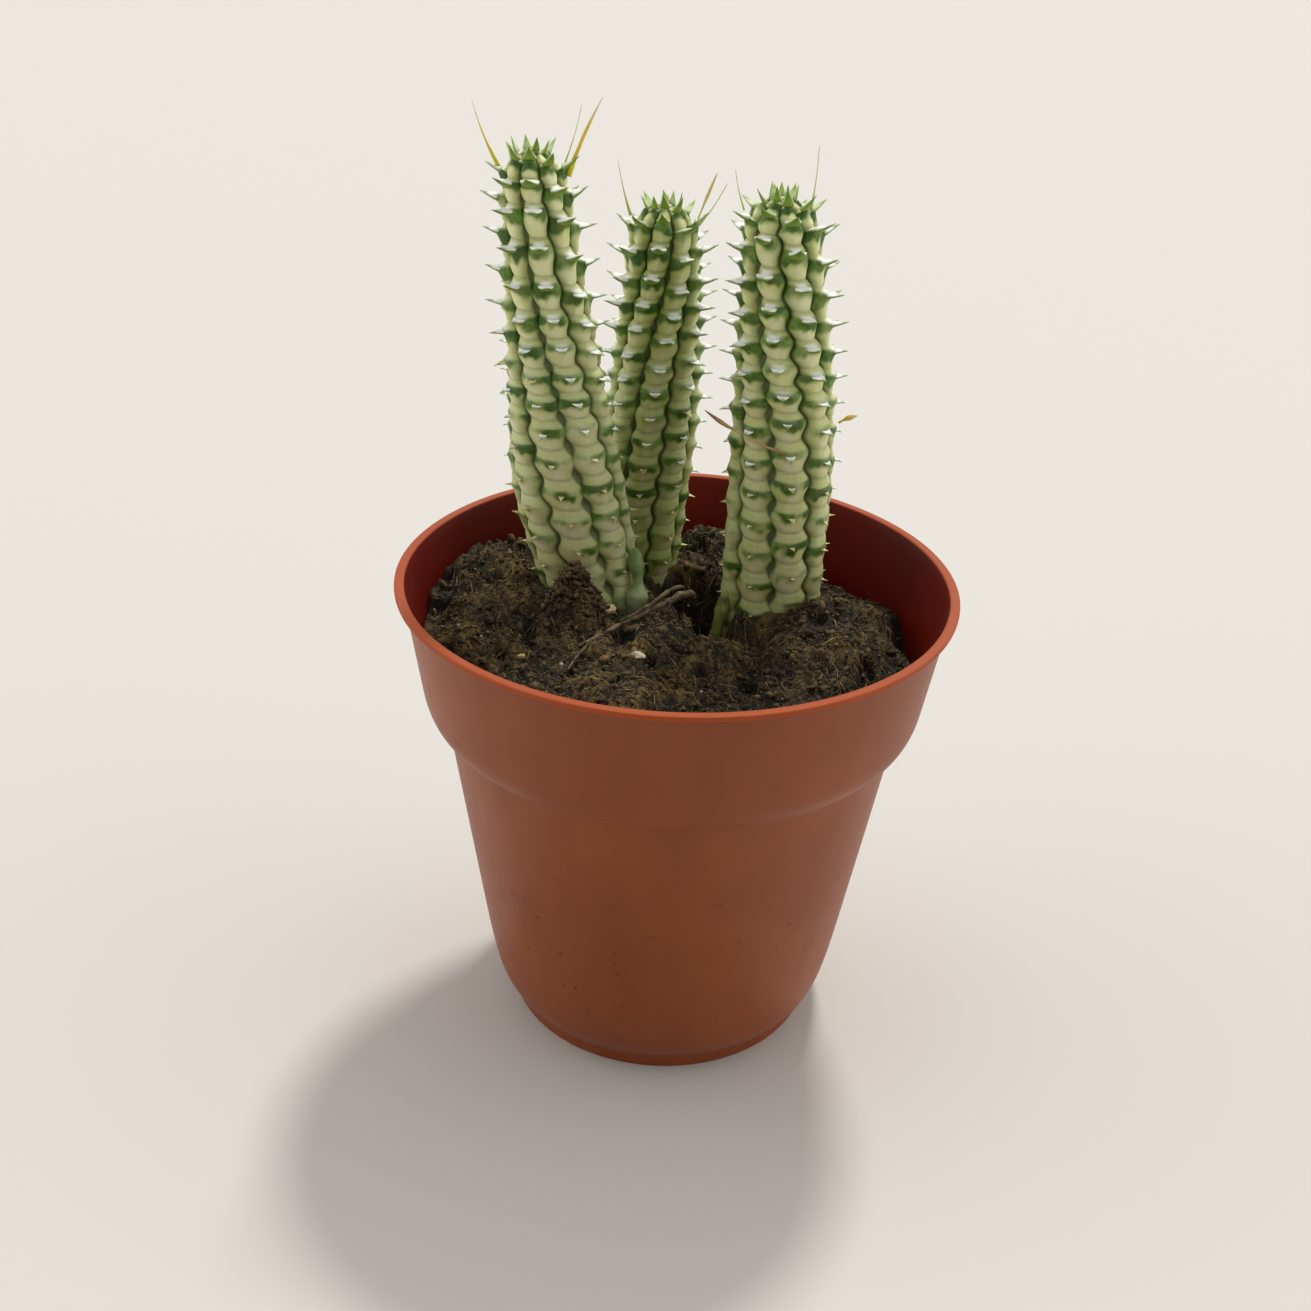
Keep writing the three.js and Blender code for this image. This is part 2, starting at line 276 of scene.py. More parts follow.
def lumps(points, across, seed=0):
    """Smooth noise from -1 to 1 at each point, with lumps this many millimetres across."""
    scaled = np.asarray(points, dtype=float) / across
    cell = np.floor(scaled)
    part = scaled - cell
    part = part * part * (3 - 2 * part)
    total = 0.0
    for corner in np.ndindex(2, 2, 2):
        weight = np.prod(np.where(np.array(corner) == 1, part, 1 - part), axis=-1)
        total = total + weight * lattice(cell + np.array(corner), seed)
    return total


def smooth_step(low, high, value):
    part = np.clip((value - low) / (high - low), 0, 1)
    return part * part * (3 - 2 * part)


print("lumps at one point:", round(float(lumps(np.array([[1.2, 3.4, 5.6]]), 2.0)[0]), 3))

# %% [markdown]
# ## The pot: a wall turned round an axis
#
# A nursery pot is one thin shell of polypropylene from a mould: a flat lip, a tapered collar, a
# step that lets pots stack, a tapered body and a rounded foot on a ring. It could be a screwed
# or spun curve; here the outline is walked once and turned through a full circle, because then
# every sharp corner of the outline can be rounded by the radius that the mould gave it.

# %% Pot outline
LIP_RADIUS = 52.5
POT_HEIGHT = 92.7
LIP_THICKNESS = 1.0
WALL = 1.1
FLOOR_TOP = 3.0
FLOOR_RADIUS = 29.6
THROAT_RADIUS = 49.9    # inner radius just under the lip
FOOT_RECESS = 1.6
FOOT_INNER = 27.5
DRAIN_COUNT, DRAIN_CIRCLE, DRAIN_RADIUS = 8, 21.0, 2.7

# Outside of the wall from the foot up: radius, height and the radius that rounds that corner.
WALL_OUTLINE = [
    (30.7, 0.0, 0.3), (30.9, 2.6, 0.5), (33.0, 5.2, 3.0), (34.3, 8.1, 4.0), (35.8, 15.0, 8.0),
    (43.5, 64.9, 0.5), (46.2, 67.1, 1.6), (47.6, 70.0, 2.4), (51.0, 91.7, 0.3),
]
INNER_OUTLINE = [(radius - WALL, height + 0.4, turn)
                 for radius, height, turn in WALL_OUTLINE[3:-1]]


def rounded(outline, steps=6):
    """The outline with each corner replaced by a curve that starts and ends `turn` away."""
    result = []
    for number, (radius, height, turn) in enumerate(outline):
        corner = Vector((radius, height))
        if turn == 0 or number in (0, len(outline) - 1):
            result.append(corner)
            continue
        before = Vector(outline[number - 1][:2]) - corner
        after = Vector(outline[number + 1][:2]) - corner
        start = corner + before.normalized() * min(turn, before.length * 0.45)
        end = corner + after.normalized() * min(turn, after.length * 0.45)
        for step in range(steps + 1):
            t = step / steps
            result.append(start * (1 - t) ** 2 + corner * 2 * t * (1 - t) + end * t * t)
    return result


def filled(outline, longest=4.0):
    """Extra points on long straight stretches, so that the wall can wander slightly."""
    result = [outline[0]]
    for point in outline[1:]:
        count = max(1, math.ceil((point - result[-1]).length / longest))
        start = result[-1]
        result += [start.lerp(point, (i + 1) / count) for i in range(count)]
    return result


lip_under = POT_HEIGHT - LIP_THICKNESS
pot_outline = rounded(
    [(0.0, FOOT_RECESS, 0), (FOOT_INNER, FOOT_RECESS, 0.4), (FOOT_INNER, 0.0, 0.3)]
    + WALL_OUTLINE
    + [(LIP_RADIUS, lip_under, 0.35), (LIP_RADIUS, POT_HEIGHT, 0.45), (50.7, POT_HEIGHT, 0.35),
       (50.3, lip_under - 0.6, 0.5)]
    + INNER_OUTLINE[::-1]
    + [(FLOOR_RADIUS, FLOOR_TOP, 1.5), (0.0, FLOOR_TOP, 0)])
pot_outline = filled(pot_outline)
print("pot outline has", len(pot_outline), "points")

# %% [markdown]
# ## Plastic: satin outside, glossy and red inside
#
# Terracotta-coloured polypropylene is a little see-through, so its inside, lit through the wall
# and from wall to wall, glows a deep red, and the thin lip turns orange. Both glows are painted
# into the colour as painted light. The outside is satin, with soft vertical flow marks from the
# mould, rub marks and specks of dried soil low down.

# %% Plastic finish
def plastic_outside():
    recipe = Recipe("terracotta_plastic")
    lip, low = recipe.mask("lip"), recipe.mask("low")
    flow = recipe.speckle(9, 2, stretch=(1, 1, 0.12))
    cloudy = recipe.speckle(30)
    scuff = recipe.speckle(6.5, 6, 0.72, (1, 1, 1.6)).between(0.60, 0.70)
    nick = recipe.speckle(1.9, 2).between(0.69, 0.74) * low.between(0.1, 0.8)
    dust = recipe.speckle(0.7, 2).between(0.70, 0.80)
    colour = recipe.coats(
        (148, 68, 20),
        (cloudy.between(0.35, 0.7), (158, 76, 26)),
        (flow.between(0.35, 0.75) * 0.30, (136, 58, 15)),
        (scuff * low * 0.55, (112, 46, 24)),
        (nick * 0.9, (84, 30, 18)),
        (dust * 0.12, (205, 170, 145)),
        # Painted glow: the lip is painted orange for the light that shines through its thin
        # plastic.
        (lip, (176, 72, 0)))
    rough = 0.40 + flow * 0.10 + scuff * 0.12 + lip * 0.2
    height = recipe.speckle(0.45) * 0.30 + flow * 0.5 + scuff * low * 0.4 - nick * 1.2
    return recipe.finish(Base_Color=colour, Roughness=rough, IOR=1.42, Sheen_Weight=0.06,
                         Sheen_Roughness=0.35, Sheen_Tint=paint(255, 214, 190),
                         Normal=recipe.relief(height, 0.06, 0.6))


def plastic_inside_painted_glow():
    recipe = Recipe("terracotta_plastic_inside")
    cloudy = recipe.speckle(24)
    splash = recipe.speckle(1.6).between(0.66, 0.74)
    # Painted glow: the inside is painted a deep red for the light that shines through the wall and
    # bounces from wall to wall.
    colour = recipe.coats((128, 20, 6), (cloudy.between(0.3, 0.7), (108, 14, 4)),
                          (splash * 0.5, (60, 30, 16)))
    return recipe.finish(Base_Color=colour, Roughness=0.42 + cloudy * 0.1, IOR=1.38,
                         Normal=recipe.relief(cloudy, 0.05, 0.4))


plastic, plastic_within_painted_glow = plastic_outside(), plastic_inside_painted_glow()
print("plastic uses", len(plastic.node_tree.nodes), "nodes")

# %% [markdown]
# The outline is turned in 288 steps. The wall wanders by a tenth of a millimetre, as thin
# mouldings do, and the drain holes are cut with a Boolean modifier that is applied at once.

# %% Turn the pot and drill it
TURNS = 288
WANDER = 0.10
LIP_BAND = 0.4          # how far below the top a point still belongs to the top of the lip
LIP_CORNER = 50.66      # radius of the lip's inner corner, where the inside begins
LIP_EDGE = 51.15, 51.7  # radii between which the wall's colour turns into the lip's
HOLE_SIDES, HOLE_DEPTH = 32, 8


def turned_pot():
    rows = pot_outline[1:-1]
    top = POT_HEIGHT - LIP_BAND
    angles = np.linspace(0, 2 * np.pi, TURNS, endpoint=False)
    ring = np.stack([np.cos(angles), np.sin(angles)], axis=1)
    points, lip, low = [], [], []
    inner_row = next(index for index, p in enumerate(rows) if p.x < LIP_CORNER and p.y > top)
    for point in rows:
        height = np.full(TURNS, point.y)
        wander = WANDER * lumps(np.column_stack([ring * 3, height / 30]), 1.0, 3)
        wander *= smooth_step(20, 60, point.y)
        points.append(np.column_stack([ring * (point.x + wander)[:, None], height]))
        on_top = 1.0 if point.y > top and point.x > 50 else 0.0
        lip += [max(float(smooth_step(*LIP_EDGE, point.x)), on_top)] * TURNS
        low += [float(1 - smooth_step(20, 70, point.y))] * TURNS
    points = np.vstack(points + [[0, 0, pot_outline[0].y], [0, 0, pot_outline[-1].y]])
    piece = make_piece("nursery_pot", points, fanned_tube(len(rows), TURNS), plastic,
                       {"lip": lip + [0, 0], "low": low + [1, 1]},
                       replaces=["pot"], slot="pot_plastic")
    piece.data.materials.append(plastic_within_painted_glow)
    under_middle = len(rows) * TURNS
    for face in piece.data.polygons:
        if min(face.vertices) >= inner_row * TURNS and max(face.vertices) != under_middle:
            face.material_index = 1
    return piece


def drill(piece):
    """Cuts the ring of drain holes through the pot's floor."""
    for number in range(DRAIN_COUNT):
        angle = 2 * math.pi * number / DRAIN_COUNT
        place = Vector((math.cos(angle), math.sin(angle), 0)) * DRAIN_CIRCLE * MM
        bpy.ops.mesh.primitive_cylinder_add(
            vertices=HOLE_SIDES, radius=DRAIN_RADIUS * MM, depth=HOLE_DEPTH * MM,
            location=place + Vector((0, 0, 2 * MM)))
        cutter = bpy.context.object
        cut = piece.modifiers.new("hole", "BOOLEAN")
        cut.operation = "DIFFERENCE"
        cut.object = cutter
        bpy.context.view_layer.objects.active = piece
        bpy.ops.object.modifier_apply(modifier=cut.name)
        bpy.data.objects.remove(cutter)


pot = turned_pot()
drill(pot)
pot.data.shade_smooth()
print("pot drilled:", len(pot.data.polygons), "faces")

# %% [markdown]
# ## The soil's shape
#
# The peat was pressed round the stems by hand, so it lies in heaps with a dark crevice between
# two stems. A flat disc with a noise texture would look like a carpet. Instead the height is a
# sum of a few smooth heaps, then clods, then grains, each finer and lower than the one before.

# %% Soil height
SOIL_LEVEL = 80.3
SOIL_SLOPE = -0.06
SOIL_BOTTOM = 3.3

# Heaps: centre x, y, height above the level, radius. Pits are the same but steep and downwards.
HEAPS = [
    (-36, 20, 3.4, 11), (-32, -6, 2.6, 13), (-17, 6, 2.6, 12), (-19, -1, 9.5, 4.4),
    (-3, -9, 4.6, 11), (-8, -27, 3.0, 9), (30, 4, 7.0, 12), (24, -8, 3.0, 9), (12.2, 5.2, 3.0, 3.2),
    (6, 41, 5.0, 6),
]
PITS = [
    (4.6, 20.0, 15, 8.2), (5.8, 10.5, 12, 5.0), (7.6, 3.8, 9.5, 3.8), (8.0, 0.0, 5.0, 4.2),
    (15.0, -1, 4.6, 4.2), (-9.6, 4.2, 4.2, 4.4), (-1.6, -22, 3.0, 3.2),
    (46, 6, 5.0, 7.5), (-48, -2, 4.5, 7.0), (-26, -9, 2.0, 3.0),
]


def wall_inside(height):
    """Inner radius of the pot at this height."""
    heights = [0.0] + [h for _, h, _ in INNER_OUTLINE] + [lip_under]
    radii = [FLOOR_RADIUS] + [r for r, _, _ in INNER_OUTLINE] + [THROAT_RADIUS]
    return np.interp(height, heights, radii)


def heaped(x, y):
    """Height of the pressed soil before clods and grains are added."""
    height = SOIL_LEVEL + SOIL_SLOPE * x
    for table, sign, steepness in ((HEAPS, 1, 1), (PITS, -1, 2)):
        for centre_x, centre_y, rise, reach in table:
            apart = ((x - centre_x) ** 2 + (y - centre_y) ** 2) / reach ** 2
            height = height + sign * rise * np.exp(-apart ** steepness)
    return height


def soil_height(x, y):
    flat = np.stack([x, y, np.zeros_like(x)], axis=-1)
    clods = lumps(flat, 8.0, 1) * 1.2 + lumps(flat, 3.4, 2) * 0.8
    crumbs = np.abs(lumps(flat, 1.7, 3)) * 0.9 + lumps(flat, 0.8, 4) * 0.60
    pits = smooth_step(0.35, 0.8, lumps(flat, 4.5, 5)) * 2.2
    rim = np.hypot(x, y)
    shrunk = smooth_step(42, 48, rim) * (0.6 + 1.6 * smooth_step(-0.2, 0.6, lumps(flat, 11.0, 6)))
    return heaped(x, y) + clods + crumbs - pits - shrunk


print("soil under the middle of the rim:", round(float(heaped(0.0, 0.0)), 1), "mm")

# %% [markdown]
# ## Peat finish
#
# Peat is warm brown to olive on its dry tips, and its low places and the undersides of its
# crumbs are painted nearly black as painted shade. The mask `tip` says how far a point stands
# above its neighbours, round noise breaks the colour up, and noise stretched three ways draws
# pale and dark strands of moss.

# %% Peat finishes
def peat_finish(name, dark, mid, light):
    recipe = Recipe(name)
    tip = recipe.mask("tip")
    patch = recipe.speckle(6, 4)
    grain = recipe.speckle(0.8, 4, 0.7)
    olive = recipe.speckle(3.2).between(0.55, 0.72)
    colour = recipe.coats(
        dark,
        (grain.between(0.35, 0.65), mid),
        (tip.between(0.40, 1.0) * patch.between(0.3, 0.62), light),
        (olive * 0.50, (96, 86, 30)))
    for lean in ((1, 0.22, 1), (0.22, 1, 1), (0.5, 0.5, 0.16)):
        strand = recipe.speckle(0.42, 2, stretch=lean)
        colour = recipe.coats(colour, (strand.between(0.60, 0.68) * 0.55, light),
                              (strand.between(0.44, 0.36) * 0.45, dark))
    # Painted shade: where `tip` is low, in the soil's hollows and under each crumb, the colour is
    # blended nearly to black.
    colour = recipe.blend(0.88 * (1 - tip.between(0.12, 0.55)), colour, (14, 10, 6))
    return recipe.finish(Base_Color=colour, Roughness=0.95 - tip * 0.1,
                         Normal=recipe.relief(grain + patch * 0.5, 0.35, 0.8))


peat = peat_finish("peat", (13, 9, 3), (52, 39, 17), (142, 114, 56))
print("peat finish made")

# %% [markdown]
# The soil is one closed body: rings up the inside of the pot's wall, then rings over its top from
# the rim to the middle, each point lifted to the soil's height there.

# %% Soil body
SPOKES, RINGS = 420, 150
WALL_RINGS = (SOIL_BOTTOM, 8.5, 15.4, 65.3, 67.5, 70.4, 73.0)
RIM_REACH = 47
WALL_GAP, RIM_GAP = 0.2, 0.15       # between soil and pot, below and at the soil's top


def soil_body():
    angles = np.linspace(0, 2 * np.pi, SPOKES, endpoint=False)
    cos, sin = np.cos(angles), np.sin(angles)
    edge = wall_inside(heaped(RIM_REACH * cos, RIM_REACH * sin)) - RIM_GAP
    points, tips = [], []
    for height in WALL_RINGS:
        radius = wall_inside(height) - WALL_GAP
        points.append(np.column_stack([cos * radius, sin * radius, np.full(SPOKES, height)]))
        tips.append(np.zeros(SPOKES))
    for ring in range(RINGS, 0, -1):
        radius = edge * ring / RINGS
        x, y = cos * radius, sin * radius
        height = soil_height(x, y)
        points.append(np.column_stack([x, y, height]))
        # A low `tip` in the hollows becomes painted shade in the peat finish.
        tips.append(np.clip(0.45 + (height - heaped(x, y)) * 0.30, 0, 1))
    faces = fanned_tube(len(points), SPOKES)
    points = np.concatenate(points + [[[0, 0, SOIL_BOTTOM]], [[0, 0, points[-1][:, 2].mean()]]])
    make_piece("peat_soil", points, faces, peat, {"tip": np.append(np.concatenate(tips), [0, 0.5])},
               replaces=["potting_soil"], slot="peat_soil")


soil_body()

# %% [markdown]
# ## Crumbs and fibres
#
# What makes soil read as soil is what lies loose on it: crumbs of every size and the long brown
# fibres of the peat moss. A particle system could scatter them, but it would have to be made
# real before it could be kept, so they are placed by a seeded random generator and joined into
# one mesh for the crumbs and one for the fibres.

# %% Crumbs
chance = np.random.default_rng(41)
STEM_FEET = [(-16.0, 12.5, 10.6), (-9.5, 32.5, 10.0), (18.6, 14.5, 10.3)]


def free_spots(count, outer=47.2, stems=0.6):
    """Random places on the soil that aren't inside a stem."""
    radius = outer * np.sqrt(chance.random(count * 2))
    angle = chance.uniform(0, 2 * np.pi, count * 2)
    spots = np.column_stack([radius * np.cos(angle), radius * np.sin(angle)])
    for x, y, reach in STEM_FEET:
        spots = spots[np.hypot(spots[:, 0] - x, spots[:, 1] - y) > reach + stems]
    return spots[:count]


def ball(level):
    """Points and triangles of a small ball."""
    mesh = bmesh.new()
    bmesh.ops.create_icosphere(mesh, subdivisions=level, radius=1.0)
    points = np.array([vertex.co[:] for vertex in mesh.verts])
    faces = np.array([[vertex.index for vertex in face.verts] for face in mesh.faces])
    mesh.free()
    return points, faces


def random_turns(count):
    """Rotation matrices that point every way."""
    turns = [Quaternion(row).normalized().to_matrix() for row in chance.normal(size=(count, 4))]
    return np.array(turns)


def scatter_lumps(spots, sizes, level, squash, sink, rugged):
    """Rough little lumps on the soil, as one set of points, faces and heights on their lump."""
    shape, triangles = ball(level)
    count = len(spots)
    seeds = chance.uniform(-50, 50, (count, 1, 3))
    rough = 1 + rugged * lumps(shape[None] * 1.6 + seeds, 1.0, 7)
    widths = np.column_stack([np.ones(count), chance.uniform(0.6, 0.95, count),
                              squash * chance.uniform(0.7, 1.1, count)])
    lump = shape[None] * rough[..., None] * (widths * sizes[:, None])[:, None, :]
    lump = np.einsum("nij,npj->npi", random_turns(count), lump)
    ground = soil_height(spots[:, 0], spots[:, 1]) + sizes * sink
    centres = np.column_stack([spots, ground])
    faces = triangles[None] + (np.arange(count) * len(shape))[:, None, None]
    # Low points of a lump get a low `tip`, which the peat finish paints into shade.
    tips = np.clip(0.45 + 0.5 * lump[..., 2] / sizes[:, None], 0, 1)
    return (lump + centres[:, None]).reshape(-1, 3), faces.reshape(-1, 3).tolist(), tips.ravel()


def join(*parts):
    """Several sets of points, faces and masks as one."""
    points, faces, masks, start = [], [], [], 0
    for part_points, part_faces, part_mask in parts:
        points.append(part_points)
        faces += [tuple(index + start for index in face) for face in part_faces]
        masks.append(part_mask)
        start += len(part_points)
    return np.concatenate(points), faces, np.concatenate(masks)


coarse_spots = free_spots(260)
fine_spots = free_spots(3200)
clump_spots = chance.normal((-19, -1), (3.0, 2.6), (260, 2))
crumb_points, crumb_faces, crumb_tips = join(
    scatter_lumps(coarse_spots, chance.uniform(0.5, 1.2, len(coarse_spots)), 2, 0.7, 0.05, 0.8),
    scatter_lumps(fine_spots, chance.uniform(0.2, 0.5, len(fine_spots)), 1, 0.8, 0.2, 0.7),
    scatter_lumps(clump_spots, chance.uniform(0.25, 0.8, len(clump_spots)), 2, 0.8, 0.4, 1.0))
crumb_finish = peat_finish("peat_crumbs", (16, 11, 5), (50, 38, 18), (134, 106, 56))
make_piece("peat_crumbs", crumb_points, crumb_faces, crumb_finish, {"tip": crumb_tips},
           slot="peat_soil")

# %% [markdown]
# A fibre is a thin three-sided tube along a line that wanders as it goes. It starts on the soil,
# bows up in its middle, and is thickest there.

# %% Fibres
FIBRE_SIDES, FIBRE_STEPS = 3, 3


def scatter_threads(count, lengths, radii, bows):
    """Bent hairs that lie on the soil, each bowing up a little in its middle."""
    spots = free_spots(count, 46.0, 0.2)
    count = len(spots)
    rings = FIBRE_STEPS + 1
    length = chance.uniform(*lengths, count)
    heading = chance.uniform(0, 2 * np.pi, (count, 1))
    heading = heading + np.cumsum(chance.normal(0, 0.3, (count, rings)), axis=1)
    stride = np.stack([np.cos(heading), np.sin(heading)], axis=-1)
    stride = stride * length[:, None, None] / FIBRE_STEPS
    route = spots[:, None] + np.cumsum(stride, axis=1) - stride[:, :1]
    rim = np.hypot(route[..., 0], route[..., 1])
    route *= np.minimum(1, 47.5 / np.maximum(rim, 1))[..., None]
    share = np.linspace(0, 1, rings)[None, :]
    arch = chance.uniform(*bows, (count, 1)) * length[:, None] * np.sin(np.pi * share)
    radius = chance.uniform(*radii, (count, 1))
    height = soil_height(route[..., 0], route[..., 1]) + radius + arch
    thick = radius * (0.4 + 0.9 * np.sin(np.pi * np.clip(share + 0.05, 0, 0.96)))
    side = np.stack([-np.sin(heading), np.cos(heading), 0 * heading], axis=-1)
    centre = np.concatenate([route, height[..., None]], axis=-1)
    corners = []
    for corner in range(FIBRE_SIDES):
        angle = 2 * np.pi * corner / FIBRE_SIDES
        offset = side * np.cos(angle) + np.array([0, 0, np.sin(angle)])
        corners.append(centre + offset * thick[..., None])
    points = np.stack(corners, axis=2).reshape(-1, 3)
    faces = []
    for number in range(count):
        faces += closed_tube(rings, FIBRE_SIDES, number * rings * FIBRE_SIDES)
    tints = np.repeat(chance.random(count) ** 1.6, rings * FIBRE_SIDES)
    return points, faces, tints


def fibre_finish():
    recipe = Recipe("peat_fibres")
    tint = recipe.mask("tint")
    grain = recipe.speckle(1.2)
    colour = recipe.coats(
        (40, 31, 15),
        (tint.between(0.0, 0.6), (112, 92, 46)),
        (tint.between(0.6, 1.0), (186, 164, 98)),
        (grain.between(0.4, 0.7) * 0.5, (50, 40, 22)))
    return recipe.finish(Base_Color=colour, Roughness=0.85,
                         Normal=recipe.relief(grain, 0.05, 0.5))


fibre_brown = fibre_finish()
for name, count, lengths, radii, bows in [
        ("fine_peat_fibres", 9600, (0.7, 2.2), (0.035, 0.08), (0.0, 0.16)),
        ("long_peat_fibres", 900, (2.2, 6.0), (0.05, 0.10), (0.0, 0.08))]:
    points, faces, tints = scatter_threads(count, lengths, radii, bows)
    make_piece(name, points, faces, fibre_brown, {"tint": tints}, slot="peat_soil")

# %% [markdown]
# ## How a ribbed stem grows
#
# The stem carries eight ribs, and each rib is a column of swellings, one below each leaf. Leaf
# follows leaf three eighths of a turn round, so each rib's swellings sit three eighths of a
# step from its neighbour's, and they lock together like the cells of a corn cob. The mesh is
# worked out on that plan: a column of points knows how far it lies from the crest of its rib,
# and a row knows how far up its swelling it is. The same two numbers give shape and colour.

# %% Stem plan
RIBS = 8
COLUMNS = 20            # points across one rib
ROW_STEP = 0.32         # millimetres between rows
FINE_POINTS = 4000      # points on a stem's profile before its rows are placed
OLD_SPACING, YOUNG_SPACING, TIP_SPACING = 5.8, 5.2, 3.0     # millimetres from leaf to leaf

# axis: points up the middle; girth: height and radius over the crests; cap: height of the dome;
# turn: height and how far the first rib has wound round, in degrees from the front;
# ledges: heights of the first rib's leaves from the top down; shift: how much lower, in leaf
# steps, each next rib to the right carries its leaves; greenness and wear: tints from 0 to 1.
STEMS = {
    "left": dict(
        axis=[(-13.2, 12.5, 70), (-15.8, 12.5, 81), (-21.4, 12.5, 103), (-24.6, 12.5, 130),
              (-28.7, 12.5, 166.6)],
        girth=[(70, 7.8), (80, 9.9), (86, 10.3), (104, 10.9), (114, 10.5), (122, 9.9), (131, 9.2),
               (140, 8.6), (150, 7.9), (158, 7.3), (162, 6.6), (167, 6.2)],
        cap=5.5, turn=[(70, 52), (102, 49), (113, 38), (124, 28), (134, 18), (141, 9), (150, 4),
                       (160, 0), (167, -4)],
        ledges=[162.4, 157.9, 151.6, 144.9, 139.2, 134.2, 128.9, 124.3, 119.4, 113.6, 107.7, 102.0,
                96.3, 90.5, 84.7, 79.0],
        shift=0.30, greenness=0.05, wear=0.50),
    "middle": dict(
        axis=[(-10.6, 32.5, 64), (-9.4, 32.5, 86), (-6.4, 32.5, 114), (-5.5, 32.5, 138),
              (-5.6, 32.5, 153.8)],
        girth=[(64, 7.4), (74, 9.3), (84, 9.8), (106, 9.8), (126, 9.4), (138, 8.9), (147, 7.9),
               (155, 6.2)],
        cap=5.0, turn=[(64, -2), (115, -2), (124, 4), (130, 11), (135, 19), (140, 29), (145, 37),
                       (155, 47)],
        ledges=[150.4, 145.2, 139.5, 134.9, 130.1, 124.7, 120.2, 115.1, 110.1, 105.0, 99.6, 94.0,
                88.4, 82.6, 77.0],
        shift=-0.20, greenness=0.70, wear=0.20),
    "right": dict(
        axis=[(18.4, 14.5, 60), (18.6, 14.5, 88), (18.8, 14.5, 112), (17.3, 14.5, 138),
              (15.1, 14.5, 159.8)],
        girth=[(60, 7.8), (70, 9.7), (82, 10.2), (112, 10.2), (134, 9.7), (148, 8.8), (155, 8.0),
               (161, 6.4)],
        cap=5.5, turn=[(60, 26), (84, 21), (103, 12), (121, 4), (126, -2), (134, -12), (142, -20),
                       (150, -27), (161, -32)],
        ledges=[154.2, 148.0, 142.3, 137.0, 131.8, 126.9, 121.9, 115.8, 109.7, 103.6, 97.5, 91.0,
                84.9, 78.8, 72.8],
        shift=0.34, greenness=0.25, wear=0.15),
}


def softened(heights, table, spread):
    """Values of a table at these heights, with its corners eased over `spread` millimetres."""
    places = [row[0] for row in table]
    values = [row[1] for row in table]
    shifts = np.linspace(-spread, spread, 9)
    return np.mean([np.interp(heights + shift, places, values) for shift in shifts], axis=0)


class Growth:
    """Where a stem's skin runs: its axis, radius, slope and number of leaf steps, row by row."""

    def __init__(self, plan):
        foot, top = plan["axis"][0][2], plan["axis"][-1][2]
        fine = np.linspace(foot, top, FINE_POINTS)
        radius = softened(fine, plan["girth"], 3.0)
        over = np.clip((fine - (top - plan["cap"])) / plan["cap"], 0, 1)
        radius = radius * np.sqrt(np.clip(1 - over ** 2.2, 0.0004, 1))
        run = np.concatenate([[0], np.cumsum(np.hypot(np.diff(radius), np.diff(fine)))])
        rows = int(run[-1] / ROW_STEP)
        self.run = np.linspace(0, run[-1], rows)
        self.z = np.interp(self.run, run, fine)
        self.radius = np.interp(self.run, run, radius)
        self.x = softened(self.z, [(p[2], p[0]) for p in plan["axis"]], 8.0)
        self.y = softened(self.z, [(p[2], p[1]) for p in plan["axis"]], 8.0)
        self.turn = np.radians(softened(self.z, plan["turn"], 4.0) - 90)
        grow_r, grow_z = np.gradient(self.radius), np.gradient(self.z)
        length = np.hypot(grow_r, grow_z)
        self.out, self.up = grow_z / length, -grow_r / length
        from_top = self.run[-1] - self.run
        self.age = smooth_step(14, 66, from_top)
        self.ledge = 0.80 - 0.22 * self.age
        self.size = np.clip(self.radius / 9, 0.12, 1)
        self.steps = self.count_leaves(plan["ledges"], from_top)
        self.plan = plan

    def count_leaves(self, ledges, from_top):
        """Number of leaf steps at each row: whole numbers lie in the seams of the first rib."""
        heights = np.array(ledges[::-1])
        counts = np.arange(len(heights)) + np.interp(heights, self.z, self.ledge)
        steps = np.interp(self.z, heights, counts)
        below = self.z < heights[0]
        steps[below] = counts[0] - (heights[0] - self.z[below]) / OLD_SPACING
        crown = float(np.interp(heights[-1], self.z, from_top))
        climbed = np.clip(crown - from_top, 0, None)
        slow, fast = 1 / YOUNG_SPACING, 1 / TIP_SPACING
        return steps + climbed * slow + (fast - slow) * climbed ** 2 / (2 * crown)


growths = {side: Growth(plan) for side, plan in STEMS.items()}
for side, growth in growths.items():
    print(side, "stem:", len(growth.run), "rows,", round(growth.run[-1], 1), "mm along its skin")

# %% [markdown]
# Each swelling is a flat pillow between two seams. Towards its leaf the middle flares out like a
# shark's fin, strongly on young skin and hardly at all on old skin, and the leaf sits lower on
# old ones. The furrow between two ribs gives way to whichever swelling is wider at that height,
# so it zigzags, and the old swellings become the six-sided cells of a corn cob.

